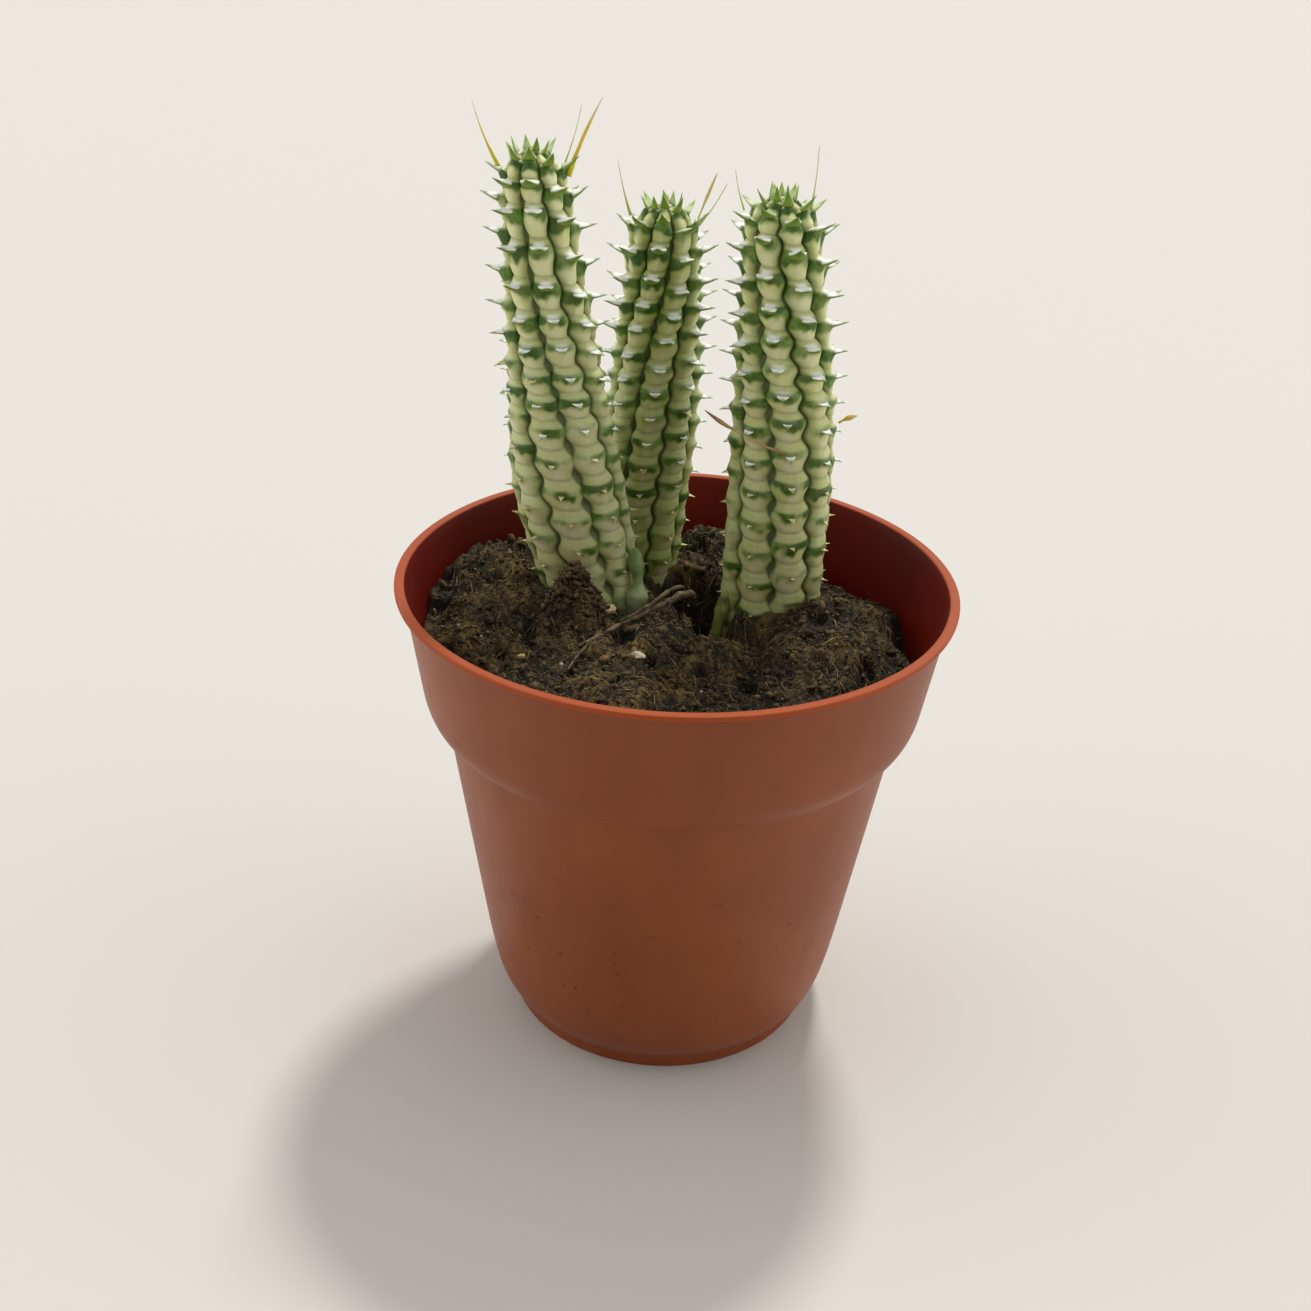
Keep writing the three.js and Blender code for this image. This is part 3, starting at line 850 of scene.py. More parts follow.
# %% Stem surface
def stem_surface(side):
    growth = growths[side]
    even = -1 + 2 * np.arange(COLUMNS) / COLUMNS
    crowded = np.sign(even) * (1 - (1 - np.abs(even)) ** 1.35)
    across = np.tile(crowded, RIBS)[None, :]
    rib = np.repeat(np.arange(RIBS), COLUMNS)[None, :]
    shift = growth.plan["shift"]
    steps, age, size, ledge, radius, turn, outward, upward, centre_x, centre_y, centre_z = (
        table[:, None] for table in (
            growth.steps, growth.age, growth.size, growth.ledge, growth.radius, growth.turn,
            growth.out, growth.up, growth.x, growth.y, growth.z))

    # The furrow between two ribs gives way to the wider swelling.
    neighbour = np.sign(across) + (across == 0)
    level = steps + rib * shift
    own_width = np.cos(2 * np.pi * (level - 0.55))
    next_width = np.cos(2 * np.pi * (steps + (rib + neighbour) * shift - 0.55))
    reach = 0.5 + 0.055 * (own_width - next_width) * size
    angle = turn + (rib + across * reach) * 2 * np.pi / RIBS
    flank = np.abs(across)
    sag = 0.10 * flank ** 2 * (0.5 + 0.5 * age)
    step = np.mod(level - sag, 1.0)

    # Height over the crest line: the fin, the two shoulders, the furrow and the seam.
    flare = (1.25 - 1.05 * age) * size
    rise = smooth_step(0.30, 1.0, np.clip(step / ledge, 0, 1)) ** 1.3
    fall = np.clip((step - ledge) / (1 - ledge), 0, 1)
    fin = np.where(step < ledge, rise, 1 - smooth_step(0, 0.45, fall))
    fin = fin * np.exp(-(across / 0.62) ** 2)
    shoulder = 1 - np.clip(step / 0.30, 0, 1)
    brow = np.clip((step - 0.72) / 0.28, 0, 1)
    height = flare * (fin - 1)
    height = height - (0.60 * shoulder ** 2 + 0.50 * brow ** 2) * (0.90 - 0.60 * age) * size
    furrow = 0.45 * (1 - (1 - (0.97 * flank) ** 2.4) ** (1 / 2.4)) + 0.55 * flank ** 3.2
    height = height - (1.9 - 0.55 * age) * size * furrow
    seam = np.exp(-(np.minimum(step, 1 - step) / 0.040) ** 2) * (1 - flank ** 10)
    tip = np.exp(-(across / 0.22) ** 2 - ((step - ledge + 0.07) / 0.08) ** 2)
    height = height - (0.24 - 0.12 * age) * seam * size + 0.30 * tip * size
    out = np.stack([np.cos(angle), np.sin(angle)], axis=-1)
    rim = radius + height * outward
    points = np.empty(angle.shape + (3,))
    points[..., 0] = centre_x + rim * out[..., 0]
    points[..., 1] = centre_y + rim * out[..., 1]
    points[..., 2] = centre_z + height * upward
    flat = points.reshape(-1, 3)
    wave = (lumps(flat, 2.6, 11) * 0.09 + lumps(flat, 6.5, 12) * 0.14).reshape(angle.shape)
    points[..., :2] += out * (wave * size)[..., None]

    # The green band hangs below each ledge in drips, and fades in patches on old skin.
    drip = lumps(flat * np.array([1, 1, 0.45]), 0.9, 13).reshape(angle.shape)
    blotch = lumps(flat, 2.2, 14).reshape(angle.shape)
    number = np.floor(level - sag)
    cell = lumps(np.stack([rib + 0 * step, number, 0 * step], axis=-1) * 7.3, 1.0, 15)
    reach_down = 0.48 - 0.24 * age + 0.10 * cell + 0.06 * flank * (1 - age)
    green_low = ledge - reach_down - 0.15 * drip - 0.10 * blotch
    band = smooth_step(0, 0.26 - 0.06 * age, step - green_low)
    band = band * (1 - smooth_step(0.01, 0.10, step - ledge - 0.05 * age))
    patchy = 0.95 - 0.28 * age + (0.20 + 0.70 * age) * blotch + (0.15 + 0.40 * age) * cell
    above = smooth_step(ledge - 0.02, ledge + 0.02, step)
    below_patch = 1 - smooth_step(ledge + 0.08, ledge + 0.15, step)
    near = ((step - ledge - 0.05 * flank + 0.01) / 0.055) ** 2
    masks = {
        # The finish paints shade with `furrow`, into the furrows, and with `side`, towards the
        # flanks.
        "furrow": smooth_step(0.80, 0.99, flank) + 0 * step,
        "side": smooth_step(0.25, 1.0, flank) + 0 * step,
        "seam": seam,
        "band": np.clip(band * np.clip(patchy, 0.08, 1), 0, 1),
        "crest": np.exp(-(across / 0.15) ** 2)
        * (1 - smooth_step(ledge - 0.50, ledge - 0.25, step)),
        "shelf": smooth_step(ledge + 0.03, ledge + 0.12, step),
        "axil": np.exp(-(across / 0.36) ** 4) * above * below_patch
        * (1 - smooth_step(0.1, 0.7, age)),
        "wings": np.exp(-(across / 0.48) ** 2 - near),
        "scar": tip,
        "age": age + 0 * across,
    }
    return points, {name: values.reshape(-1) for name, values in masks.items()}


# Stretch of a noise so that its lumps become streaks that run down a stem.
DOWNWARD = (1, 1, 0.3)
# Waxy flesh lets a little light in, more of it green than blue.
WAXY = dict(IOR=1.42, Subsurface_Weight=0.15, Subsurface_Radius=(1.0, 1.2, 0.4))


def skin_finish(name, greenness, wear):
    recipe = Recipe(name)
    furrow, side, seam, band, crest, shelf, axil, wings, scar, age = map(recipe.mask, (
        "furrow", "side", "seam", "band", "crest", "shelf", "axil", "wings", "scar", "age"))
    patch = recipe.speckle(5.5)
    fine = recipe.speckle(0.8, 4, 0.65)
    streak = recipe.speckle(1.1, stretch=DOWNWARD)
    colour = recipe.coats(
        (255, 254, 200),
        (patch.between(0.32, 0.68), (240, 242, 160)),
        (greenness * 0.6, (158, 166, 66)),
        (age * wear, (196, 197, 148)),
        # Painted shade: the flanks of each rib are painted darker and greener towards the furrows.
        (side * (0.62 - 0.12 * age), (140, 160, 60)),
        (shelf * 0.35, (196, 206, 128)),
        (streak.between(0.5, 0.75) * 0.25, (172, 178, 104)),
        # The pale crest line is partly the rib's own pale margin and partly painted highlight where
        # the ridge catches the light.
        (crest * 0.6, (246, 242, 202)),
        (band * (0.75 + 0.25 * fine.between(0.3, 0.6)), (100, 142, 22)),
        (band.between(0.45, 1.0) * patch.between(0.36, 0.56) * 0.85, (52, 92, 12)),
        # Painted shade: the furrows between the ribs are painted dark green.
        (furrow * (0.80 + greenness * 0.2), (50, 68, 16)),
        (seam * (0.40 + 0.10 * age), (112, 122, 60)),
        (wings * age * (0.35 + 0.5 * streak.between(0.35, 0.6)), (62, 86, 22)),
        (scar * age * fine.between(0.46, 0.58) * 0.6, (150, 118, 50)),
        # The white axil above each young leaf is partly pale skin and partly painted highlight.
        (axil * 0.9, PALE_AND_HIGHLIGHT_WHITE),
        (age.between(0.6, 1.0) * patch.between(0.55, 0.8) * 0.20, (180, 158, 108)))
    return recipe.finish(Base_Color=colour, Roughness=0.44 + fine * 0.12, **WAXY,
                         Subsurface_Scale=0.0012,
                         Normal=recipe.relief(fine * 0.5 + streak * 0.5, 0.06, 0.5))


for side, growth in growths.items():
    points, masks = stem_surface(side)
    rows, columns = points.shape[:2]
    foot = [growth.x[0], growth.y[0], growth.z[0]]
    apex = [growth.x[-1], growth.y[-1], growth.z[-1] + 0.05]
    masks = {name: np.append(values, [0, 0]) for name, values in masks.items()}
    skin = skin_finish("euphorbia_skin_" + side, growth.plan["greenness"], growth.plan["wear"])
    make_piece("euphorbia_" + side, np.vstack([points.reshape(-1, 3), foot, apex]),
               fanned_tube(rows, columns), skin, masks,
               replaces=["stem_" + side], slot="stem_skin")

# %% [markdown]
# ## Leaves
#
# Each swelling carries one small fleshy leaf, a boat-shaped blade with a broad base, a pointed
# tip, a channelled upper face and a green keel. The upper face is white near its base, partly
# its own pale colour and partly painted highlight. The youngest stand up as a crown, the next
# spread, the oldest are dry scars. Drawing one blade and growing it out of each ledge by the
# plan above keeps every leaf on its own swelling.

# %% Leaf blade
LEAF_ROWS = 9
LEAF_SIDES = 12
LOWEST_LEAF = 82        # height under which the swellings have lost their leaves
CLEAR_TIP = 1.2         # distance from the growing tip that stays free of leaves
ROOT_DEPTH = 0.75       # how far a leaf starts inside its swelling
WILT_FROM, WILT_SHARE = 34, 0.06    # distance from the tip where a few leaves have wilted

# Distance below the growing tip, then a leaf's length, width, rise above level and bend up.
LEAF_AGES = [
    (0.0, 2.0, 1.3, 82, 0), (2.5, 2.6, 1.9, 62, 8), (5.0, 3.2, 2.6, 28, 10),
    (8.0, 3.3, 3.0, 4, 14), (12.0, 3.2, 3.1, -1, 14), (17.0, 3.1, 2.9, -3, 12),
    (26.0, 2.9, 2.6, -5, 8), (36.0, 2.7, 2.4, -12, 4), (44.0, 2.4, 2.3, -20, 2),
    (52.0, 2.1, 2.1, -26, 0), (60.0, 1.9, 1.7, -24, 4), (70.0, 1.9, 1.3, -14, 8),
    (95.0, 1.8, 1.1, -8, 10),
]


def leaf_shape(below_tip):
    """Length, width, rise and bend of a leaf at this distance below the growing tip."""
    places = [row[0] for row in LEAF_AGES]
    return [float(np.interp(below_tip, places, [row[part] for row in LEAF_AGES]))
            for part in range(1, 5)]


def blade(length, width, bend, deep):
    """Points of one leaf lying along +X with its upper face to +Z, plus its two masks."""
    points, upper, along = [], [], []
    for row in range(LEAF_ROWS):
        t = row / (LEAF_ROWS - 1)
        half = width / 2 * (1 - t ** 1.35) ** 1.25 + 0.05
        thick = width * deep * (1 - t) ** 1.25 + 0.10
        lift = math.tan(math.radians(bend)) * length * t * t
        for side in range(LEAF_SIDES):
            angle = 2 * math.pi * side / LEAF_SIDES
            across, above = math.cos(angle), math.sin(angle)
            height = (0.10 * half if above > 0 else thick) * above
            points.append((length * t, half * across, lift + height))
            upper.append(0.5 + 0.5 * math.copysign(min(1, abs(above) * 3), above))
            along.append(t)
    return np.array(points), upper, along


def leaves_of(side):
    """All leaves of one stem, one at each whole leaf step of each rib, as points and faces."""
    growth = growths[side]
    rows = np.arange(len(growth.run))
    points, faces, masks = [], [], {"upper": [], "along": [], "dry": [], "young": []}
    for rib in range(RIBS):
        level = growth.steps + rib * growth.plan["shift"] - growth.ledge
        for whole in range(math.ceil(level[0]), math.floor(level[-1]) + 1):
            row = np.interp(whole, level, rows)
            x, y, z, radius, turn, out, up, run = (
                float(np.interp(row, rows, table)) for table in (
                    growth.x, growth.y, growth.z, growth.radius, growth.turn, growth.out,
                    growth.up, growth.run))
            below = float(growth.run[-1]) - run
            if z < LOWEST_LEAF or below < CLEAR_TIP:
                continue
            length, width, rise, bend = leaf_shape(below)
            length *= chance.uniform(0.86, 1.12)
            width *= chance.uniform(0.92, 1.10)
            angle = turn + rib * 2 * math.pi / RIBS
            outward = np.array([math.cos(angle), math.sin(angle), 0])
            climb = math.radians(rise + chance.normal(0, 5))
            forward = outward * math.cos(climb) + np.array([0, 0, math.sin(climb)])
            sideways = np.array([-outward[1], outward[0], 0])
            axes = np.array([forward, sideways, np.cross(forward, sideways)])
            deep = float(np.interp(below, [3, 10, 40, 60], [0.34, 0.40, 0.32, 0.3]))
            shape, upper, along = blade(length, width, bend, deep)
            root = np.array([x, y, z + 0.2 * up]) + outward * (radius + 0.2 * out - ROOT_DEPTH)
            skew = sideways * chance.normal(0, 0.10) * length
            faces += closed_tube(LEAF_ROWS, LEAF_SIDES, len(points) * len(shape))
            points.append(root + shape @ axes + np.array(along)[:, None] ** 2 * skew)
            wilted = below > WILT_FROM and chance.random() < WILT_SHARE
            dry = 0.9 if wilted else float(smooth_step(50, 64, below))
            masks["upper"] += upper
            masks["along"] += along
            masks["dry"] += [dry] * len(shape)
            masks["young"] += [1 - float(smooth_step(5, 9, below))] * len(shape)
    return np.concatenate(points), faces, masks


def leaf_finish():
    recipe = Recipe("leaf_blade")
    upper, along, dry, young = map(recipe.mask, ("upper", "along", "dry", "young"))
    grain = recipe.speckle(0.7)
    patch = recipe.speckle(4.0, 2)
    under = recipe.blend(along.between(0.2, 0.9), (138, 166, 54), (98, 132, 34))
    # The upper face is white near its base and green towards its tip; the white is partly the
    # leaf's pale face and partly painted highlight.
    over = recipe.coats(
        PALE_AND_HIGHLIGHT_WHITE,
        (patch.between(0.45, 0.8) * 0.5, (252, 252, 226)),
        (along.between(0.38, 0.78) * 0.9, (122, 156, 54)),
        (young * 0.75, (176, 202, 84)))
    wilted = recipe.blend(grain.between(0.50, 0.66), (238, 230, 156), (150, 112, 56))
    colour = recipe.coats(
        under,
        (upper.between(0.10, 0.34), over),
        (along.between(0.93, 1.0) * 0.5, (130, 134, 60)),
        (dry, wilted))
    return recipe.finish(Base_Color=colour, Roughness=0.42 + dry * 0.35, **WAXY,
                         Subsurface_Scale=0.001, Normal=recipe.relief(grain, 0.05, 0.5))


leaf_green = leaf_finish()
for side in STEMS:
    leaf_points, leaf_sheets, leaf_masks = leaves_of(side)
    make_piece("leaves_" + side, leaf_points, leaf_sheets, leaf_green, leaf_masks,
               replaces=["crown_leaf_%s_%d" % (side, number) for number in range(1, 9)],
               slot="leaf_blade")

# %% [markdown]
# ## Flower stalks that became spines
#
# After flowering the stalks stay on as hard spines, golden when young and grey or brown when old.
# Each is a tube that tapers along a slightly bent line; a Bezier curve with a bevel would do the
# same, but points let the thick golden one swell before it narrows.

# %% Tapered tubes
def tapered(route, radii, sides, bumps, seed=21):
    """Closed tube along a line of points, with its own radius at each, plus its `along` mask."""
    heading = np.gradient(route, axis=0)
    heading /= np.linalg.norm(heading, axis=1)[:, None]
    aside = np.cross(heading[0], [0.31, 0.95, 0.05])
    angles = np.linspace(0, 2 * np.pi, sides, endpoint=False)[:, None]
    rings = []
    for centre, radius, forward in zip(route, radii, heading):
        aside = aside - forward * aside.dot(forward)
        aside /= np.linalg.norm(aside)
        across = np.cross(forward, aside)
        offset = (aside * np.cos(angles) + across * np.sin(angles)) * radius
        ring = centre + offset
        rings.append(ring + offset * bumps * lumps(ring, 1.1, seed)[:, None])
    along = np.repeat(np.linspace(0, 1, len(route)), sides)
    return np.concatenate(rings), closed_tube(len(route), sides), along


def bent_line(start, end, sag, steps=14):
    """A line from start to end that bows aside by `sag`, in millimetres."""
    start, end = np.array(start, dtype=float), np.array(end, dtype=float)
    t = np.linspace(0, 1, steps + 1)[:, None]
    return start + (end - start) * t + np.array(sag) * np.sin(np.pi * t)


def smooth_route(route, steps):
    """The same line with its corners rounded, as evenly numbered points."""
    route = np.array(route, dtype=float)
    places = np.linspace(0, len(route) - 1, steps)
    wide = np.stack([np.interp(places, np.arange(len(route)), route[:, i]) for i in range(3)], 1)
    padded = np.pad(wide, ((3, 3), (0, 0)), mode="edge")
    return np.mean([padded[i:i + len(wide)] for i in range(7)], axis=0)


def strand(route, steps, shares, radii, sides, bumps, seed):
    """A tube along a rounded route, with these radii at these shares of its length."""
    widths = np.interp(np.linspace(0, 1, steps), shares, radii)
    return tapered(smooth_route(route, steps), widths, sides, bumps, seed)


def make_tube(name, tube, finish, **labels):
    points, faces, along = tube
    make_piece(name, points, faces, finish, {"along": along}, **labels)


def stalk_finish(name, root, middle, tip):
    recipe = Recipe(name)
    along = recipe.mask("along")
    grain = recipe.speckle(0.5, stretch=DOWNWARD)
    colour = recipe.coats(root, (along.between(0.05, 0.5), middle), (along.between(0.5, 0.95), tip),
                          (grain.between(0.5, 0.8) * 0.3, (120, 90, 40)))
    return recipe.finish(Base_Color=colour, Roughness=0.55,
                         Normal=recipe.relief(grain, 0.04, 0.5))


print("a straight spine's middle:", bent_line((0, 0, 0), (0, 0, 10), (0, 0, 0))[7])

# %% [markdown]
# The table gives each spine its root, its tip, how far it bows aside and its radii on the way.
# The finishes run from root to tip too: gold and straw pale towards the tip, and brown darkens.

# %% Spines
golden = stalk_finish("golden_spine", (240, 224, 40), (255, 216, 84), (255, 240, 186))
straw = stalk_finish("straw_spine", (206, 220, 120), (240, 236, 170), (236, 212, 150))
amber = stalk_finish("amber_spine", (250, 236, 170), (255, 226, 150), (255, 208, 128))
brown = stalk_finish("dried_stalk", (222, 204, 132), (206, 162, 98), (156, 112, 70))

# name: node, start, end, sideways bow, radii from root to tip, finish.
SPINES = [
    ("spine_left_outer", (-34.2, 12.5, 163.2), (-38.8, 12.5, 174.4), (-0.5, 0, 0.2),
     (0.42, 0.34, 0.18, 0.12, 0.09, 0.06), golden),
    ("spine_left_thick", (-22.2, 12.5, 162.4), (-16.4, 12.5, 175.8), (-0.3, 0, 0.2),
     (0.60, 0.52, 0.34, 0.30, 0.34, 0.26, 0.14, 0.07), golden),
    ("spine_left_inner", (-23.4, 16.0, 163.0), (-20.2, 15.6, 174.0), (0.3, 0, 0),
     (0.20, 0.13, 0.09, 0.07, 0.05), straw),
    ("spine_middle_outer", (-12.0, 32.5, 151.6), (-14.6, 32.5, 161.6), (-0.2, 0, 0),
     (0.34, 0.22, 0.12, 0.08, 0.05), straw),
    ("spine_middle_inner", (0.4, 31.8, 150.6), (3.9, 31.6, 160.2), (0, 0, 0.2),
     (0.22, 0.18, 0.18, 0.34, 0.34, 0.22, 0.08), amber),
    ("spine_middle_low", (1.0, 34.4, 149.8), (5.9, 35.2, 157.6), (0.2, 0, -0.2),
     (0.20, 0.15, 0.12, 0.10, 0.06), straw),
    ("spine_right_outer", (8.7, 14.5, 157.4), (6.8, 14.5, 164.2), (-0.2, 0, 0),
     (0.20, 0.14, 0.09, 0.05), straw),
    ("spine_right_inner", (20.4, 13.9, 158.0), (21.0, 14.4, 169.0), (0.2, 0, 0),
     (0.24, 0.16, 0.11, 0.08, 0.05), straw),
    ("dried_stalk_right", (10.6, 7.4, 118.6), (3.6, 6.2, 123.1), (0.2, 0, -0.5),
     (0.32, 0.26, 0.28, 0.40, 0.30, 0.10), brown),
    ("dried_stub_right", (28.4, 10.2, 120.5), (31.5, 9.3, 122.3), (0, 0, 0.2),
     (0.24, 0.22, 0.50, 0.44, 0.14), golden),
]
for name, start, end, bow, radii, finish in SPINES:
    line = bent_line(start, end, bow)
    widths = np.interp(np.linspace(0, 1, len(line)), np.linspace(0, 1, len(radii)), radii)
    make_tube(name + "_stalk", tapered(line, widths, 10, 0.15), finish, replaces=[name],
              slot="dried_stalk" if name.startswith("dried") else "spine")

# %% [markdown]
# Two ribs end in a knob of their own that stands clear of its stem at the soil: a grey-green one
# at the right of the left stem, and a dark green one in the crevice beside the right stem. A
# dried hair still lies across the front of the right stem.

# %% Rib knobs and a dried hair
KNOB_STEPS = 40


def knob_finish(name, low, high, patch_colour):
    recipe = Recipe(name)
    patch = recipe.speckle(2.6)
    streak = recipe.speckle(1.0, stretch=DOWNWARD)
    colour = recipe.coats(
        low,
        (recipe.mask("along").between(0.15, 0.75), high),
        (patch.between(0.45, 0.68) * 0.8, patch_colour),
        (streak.between(0.5, 0.75) * 0.3, (206, 212, 160)))
    return recipe.finish(Base_Color=colour, Roughness=0.46, **WAXY, Subsurface_Scale=0.0012,
                         Normal=recipe.relief(patch + streak, 0.08, 0.5))


# Piece, route up the knob, radii along it, finish.
KNOBS = [
    ("left_rib_knob",
     [(-8.6, 6.2, 78.0), (-8.2, 5.6, 82.0), (-7.6, 5.6, 85.0), (-7.5, 6.0, 88.5), (-8.0, 6.6, 91.5),
      (-8.5, 7.2, 95.0)],
     (0.8, 0.9, 1.5, 2.2, 2.2, 0.9, 1.0, 1.6, 1.4, 0.4),
     knob_finish("left_knob_skin", (216, 222, 172), (150, 172, 106), (110, 138, 68))),
    ("right_rib_knob",
     [(7.4, 7.6, 70.5), (7.7, 7.9, 73.5), (8.3, 8.6, 77.5), (9.0, 9.2, 81.5), (9.8, 9.8, 86.0)],
     (1.6, 2.0, 2.0, 1.5, 1.1, 1.2, 1.5, 1.1, 0.4),
     knob_finish("right_knob_skin", (62, 96, 34), (178, 178, 84), (58, 92, 26))),
]
for name, route, radii, finish in KNOBS:
    table = list(zip(np.linspace(0, 1, len(radii)), radii))
    widths = softened(np.linspace(0, 1, KNOB_STEPS), table, 0.02)
    make_tube(name, tapered(smooth_route(route, KNOB_STEPS), widths, 20, 0.06, 25), finish,
              slot="stem_skin")

HAIR_ROUTE = [(10.7, 7.2, 117.9), (12.5, 5.4, 117.9), (14.8, 4.3, 117.4), (17.2, 3.7, 116.8),
              (19.5, 3.5, 115.8)]
make_tube("dried_hair", strand(HAIR_ROUTE, 24, [0, 0.6, 1], [0.10, 0.26, 0.12], 8, 0.2, 26), brown,
          slot="dried_stalk")

# %% [markdown]
# ## What lies on the soil
#
# A forked twig leans from the soil towards the crevice, and a few chips of bark and a grain of
# white perlite lie about. They are broken things, so each is a ball or a tube pushed out of
# shape by noise, and the chips get flat faces where they snapped.

# %% Twig
def twig_finish():
    recipe = Recipe("twig_bark")
    split = recipe.speckle(0.9, 4, 0.7, (0.35, 0.45, 1.5))
    colour = recipe.coats(
        (142, 122, 86),
        (recipe.speckle(3.0).between(0.3, 0.7), (98, 78, 48)),
        (split.between(0.46, 0.60), (44, 33, 18)),
        (recipe.mask("along").between(0.8, 1.0) * 0.5, (84, 64, 40)))
    return recipe.finish(Base_Color=colour, Roughness=0.85,
                         Normal=recipe.relief(split, 0.35, 0.9))


# Route, points along it, shares of its length, radii there, sides, bumps and noise seed.
TWIG_STRANDS = [
    ([(-17.4, -14.4, 84.3), (-14.0, -11.4, 85.0), (-10.6, -7.8, 85.6), (-6.6, -3.2, 85.8),
      (-3.4, 1.0, 85.6), (-0.6, 4.8, 85.5), (1.6, 7.4, 85.3), (3.2, 9.0, 84.6), (3.4, 10.0, 83.2)],
     60, [0, 0.05, 0.3, 0.6, 0.8, 0.93, 1], [0.18, 0.36, 0.46, 0.62, 0.74, 0.60, 0.15],
     16, 0.5, 22),
    ([(-14.6, -12.0, 84.8), (-16.4, -15.2, 84.3), (-18.0, -18.4, 83.4), (-19.0, -20.7, 82.4)],
     24, [0, 0.6, 1], [0.36, 0.24, 0.10], 10, 0.5, 23),
    ([(-10.8, -7.4, 86.0), (-7.2, -4.2, 86.6), (-4.4, -0.2, 86.9), (-2.4, 3.4, 87.0),
      (-0.2, 7.0, 87.0), (1.6, 8.6, 86.2)],
     30, [0, 0.2, 0.8, 1], [0.16, 0.36, 0.40, 0.2], 10, 0.5, 24),
]
make_tube("forked_twig", join(*[strand(*row) for row in TWIG_STRANDS]), twig_finish(),
          replaces=["twig"], slot="twig_bark")

# %% [markdown]
# A chip begins as a ball. Three flat cuts take its roundness away, and two sizes of noise pit it.

# %% Chips and grains
CUT_AT, CUT_DEPTH = 0.62, 0.85      # where a flat cut begins on the ball, and how flat it is


def chip_finish(name, first, second):
    recipe = Recipe(name)
    grain = recipe.speckle(0.9, 4, 0.65)
    colour = recipe.blend(grain.between(0.35, 0.65), first, second)
    return recipe.finish(Base_Color=colour, Roughness=0.8, Normal=recipe.relief(grain, 0.3, 0.8))


def broken_lump(centre, half, turn, seed):
    """A lump with flattened faces and a pitted skin."""
    shape, triangles = ball(4)
    facets = random_turns(1)[0] @ np.array([[1, 0.2, 0.1], [-0.6, 0.8, 0], [0.1, -0.9, 0.5]]).T
    facets /= np.linalg.norm(facets, axis=0)
    for facet in facets.T:
        height = shape @ facet
        shape = shape - np.outer(np.clip(height - CUT_AT, 0, None) * CUT_DEPTH, facet)
    shape = shape * (1 + 0.22 * lumps(shape * 2 + seed, 1.0, seed)[:, None]
                     + 0.06 * lumps(shape * 6 + seed, 1.0, seed + 1)[:, None])
    spin = np.array(Matrix.Rotation(math.radians(turn), 3, "Z"))
    return (shape * half) @ spin.T + centre, triangles.tolist()


# Piece, node, x, y, height of its middle over the soil, half sizes, turn, finish, slot.
CHIPS = [
    ("pale_bark_chip", "bark_chip_pale", -12.5, -3.0, 1.4, (1.45, 1.05, 0.8), 25,
     chip_finish("pale_bark", (222, 206, 160), (182, 156, 108)), "bark_chip"),
    ("perlite_lump", "perlite_grain", -6.3, -18.8, 1.5, (1.25, 0.85, 0.65), -20,
     chip_finish("perlite", (240, 234, 206), (206, 196, 160)), "perlite"),
    ("yellow_bark_chip", "bark_chip_yellow", -27.3, -19.1, 1.5, (0.85, 0.6, 0.45), 40,
     chip_finish("yellow_bark", (222, 200, 130), (176, 146, 76)), "bark_chip"),
    ("right_bark_chip", "bark_chip_right", 11.8, 0.5, 1.4, (1.8, 0.5, 0.4), 15,
     chip_finish("tan_bark", (206, 186, 132), (150, 126, 80)), "bark_chip"),
]
for number, (name, node, x, y, lift, half, turn, finish, slot) in enumerate(CHIPS):
    centre = (x, y, float(heaped(x, y)) + lift)
    chip_points, chip_faces = broken_lump(centre, half, turn, 31 + 2 * number)
    make_piece(name, chip_points, chip_faces, finish, replaces=[node], slot=slot)

speck_spots = free_spots(14, 44.0, 0.8)
speck_sizes = chance.uniform(0.2, 0.4, len(speck_spots))
speck_points, speck_faces, _ = scatter_lumps(speck_spots, speck_sizes, 2, 0.8, 0.6, 0.4)
make_piece("perlite_specks", speck_points, speck_faces,
           chip_finish("perlite_dust", (224, 220, 208), (190, 182, 166)), slot="perlite")

# %% [markdown]
# ## A pale floor and soft light
#
# The plant stands on a plain pale floor, wide enough that its edge is never near.

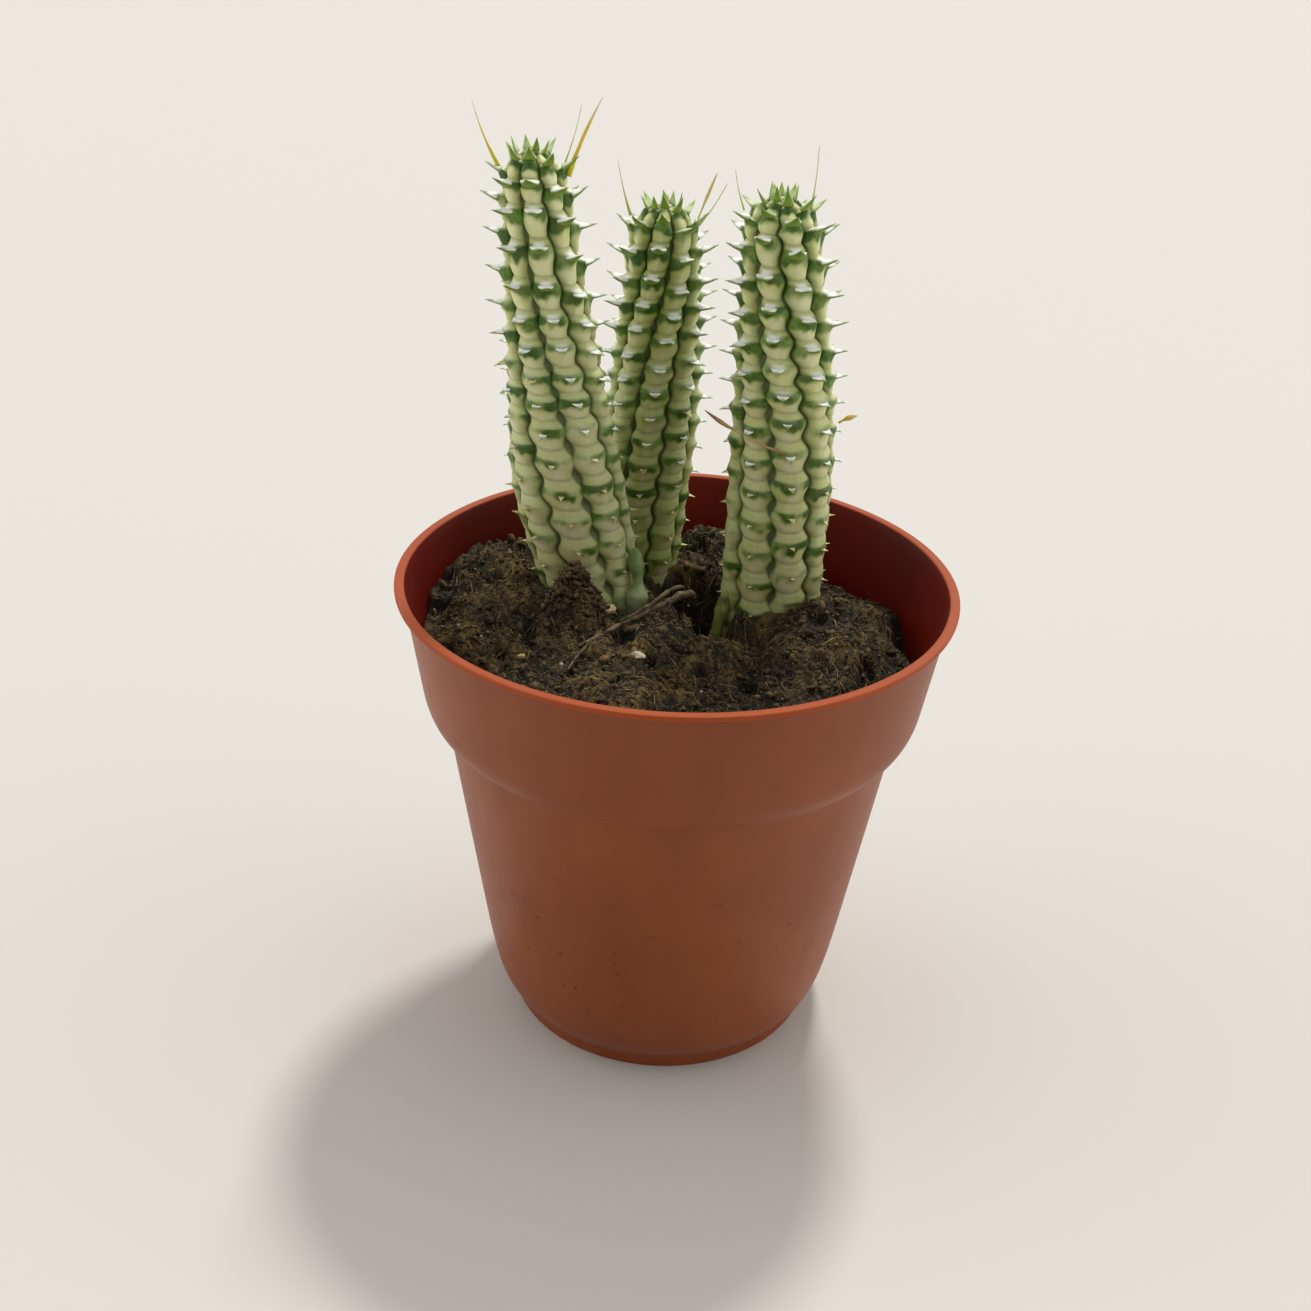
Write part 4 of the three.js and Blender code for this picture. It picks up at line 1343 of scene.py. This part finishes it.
# %% Floor
FLOOR_HALF = 3.0        # metres
floor_mesh = bpy.data.meshes.new("floor")
floor_mesh.from_pydata([(x * FLOOR_HALF, y * FLOOR_HALF, 0)
                        for x, y in ((-1, -1), (1, -1), (1, 1), (-1, 1))], [], [(0, 1, 2, 3)])
floor_mesh.materials.append(Recipe("pale_floor").finish(
    Base_Color=paint(226, 222.5, 214.5), Roughness=0.9))
floor = bpy.data.objects.new("floor", floor_mesh)
bpy.context.scene.collection.objects.link(floor)
print("floor is", 2 * FLOOR_HALF, "metres wide")

# %% [markdown]
# A broad soft lamp shines from high behind, so that the shadow falls forward and to the left. A
# sky that is darker in front than behind lets the front of the pot fall into shade, as it does
# when a pot stands between a window and an eye, and its bright sides line the pot's edges.

# %% Light
SUN_TRAVEL = Vector((-17, -50, -92))
SUN_STRENGTH = 1.5 * LAMP_GAIN
SUN_SPREAD = math.radians(8)
sun_data = bpy.data.lights.new("sun", "SUN")
sun_data.energy = SUN_STRENGTH
sun_data.angle = SUN_SPREAD
sun_data.color = (1.0, 0.98, 0.95)
sun = bpy.data.objects.new("sun", sun_data)
sun.rotation_mode = "QUATERNION"
sun.rotation_quaternion = SUN_TRAVEL.to_track_quat("-Z", "Y")
bpy.context.scene.collection.objects.link(sun)


def sky(front, back, side, strength):
    """A plain sky: one grey in front, another behind, and brighter panels at both sides."""
    world = bpy.data.worlds.new("sky")
    bpy.context.scene.world = world
    recipe = Recipe("sky", world)
    where = recipe.add("ShaderNodeTexCoord", out="Generated")
    parts = recipe.add("ShaderNodeSeparateXYZ", None, where).socket.node.outputs
    depth = Wire(recipe, parts["Y"]).between(-0.9, 0.5, front, back)
    sideways = recipe.add("ShaderNodeMath", {"operation": "ABSOLUTE"}, Wire(recipe, parts["X"]))
    panels = sideways.between(0.55, 0.95, 0.0, side)
    recipe.finish(Color=depth + panels, Strength=strength)


sky(front=0.30, back=0.90, side=1.35, strength=0.74 * LAMP_GAIN)
bpy.context.scene.view_settings.view_transform = "Standard"
print("sun stands", round(math.degrees(math.asin(-SUN_TRAVEL.normalized().z))), "degrees high")
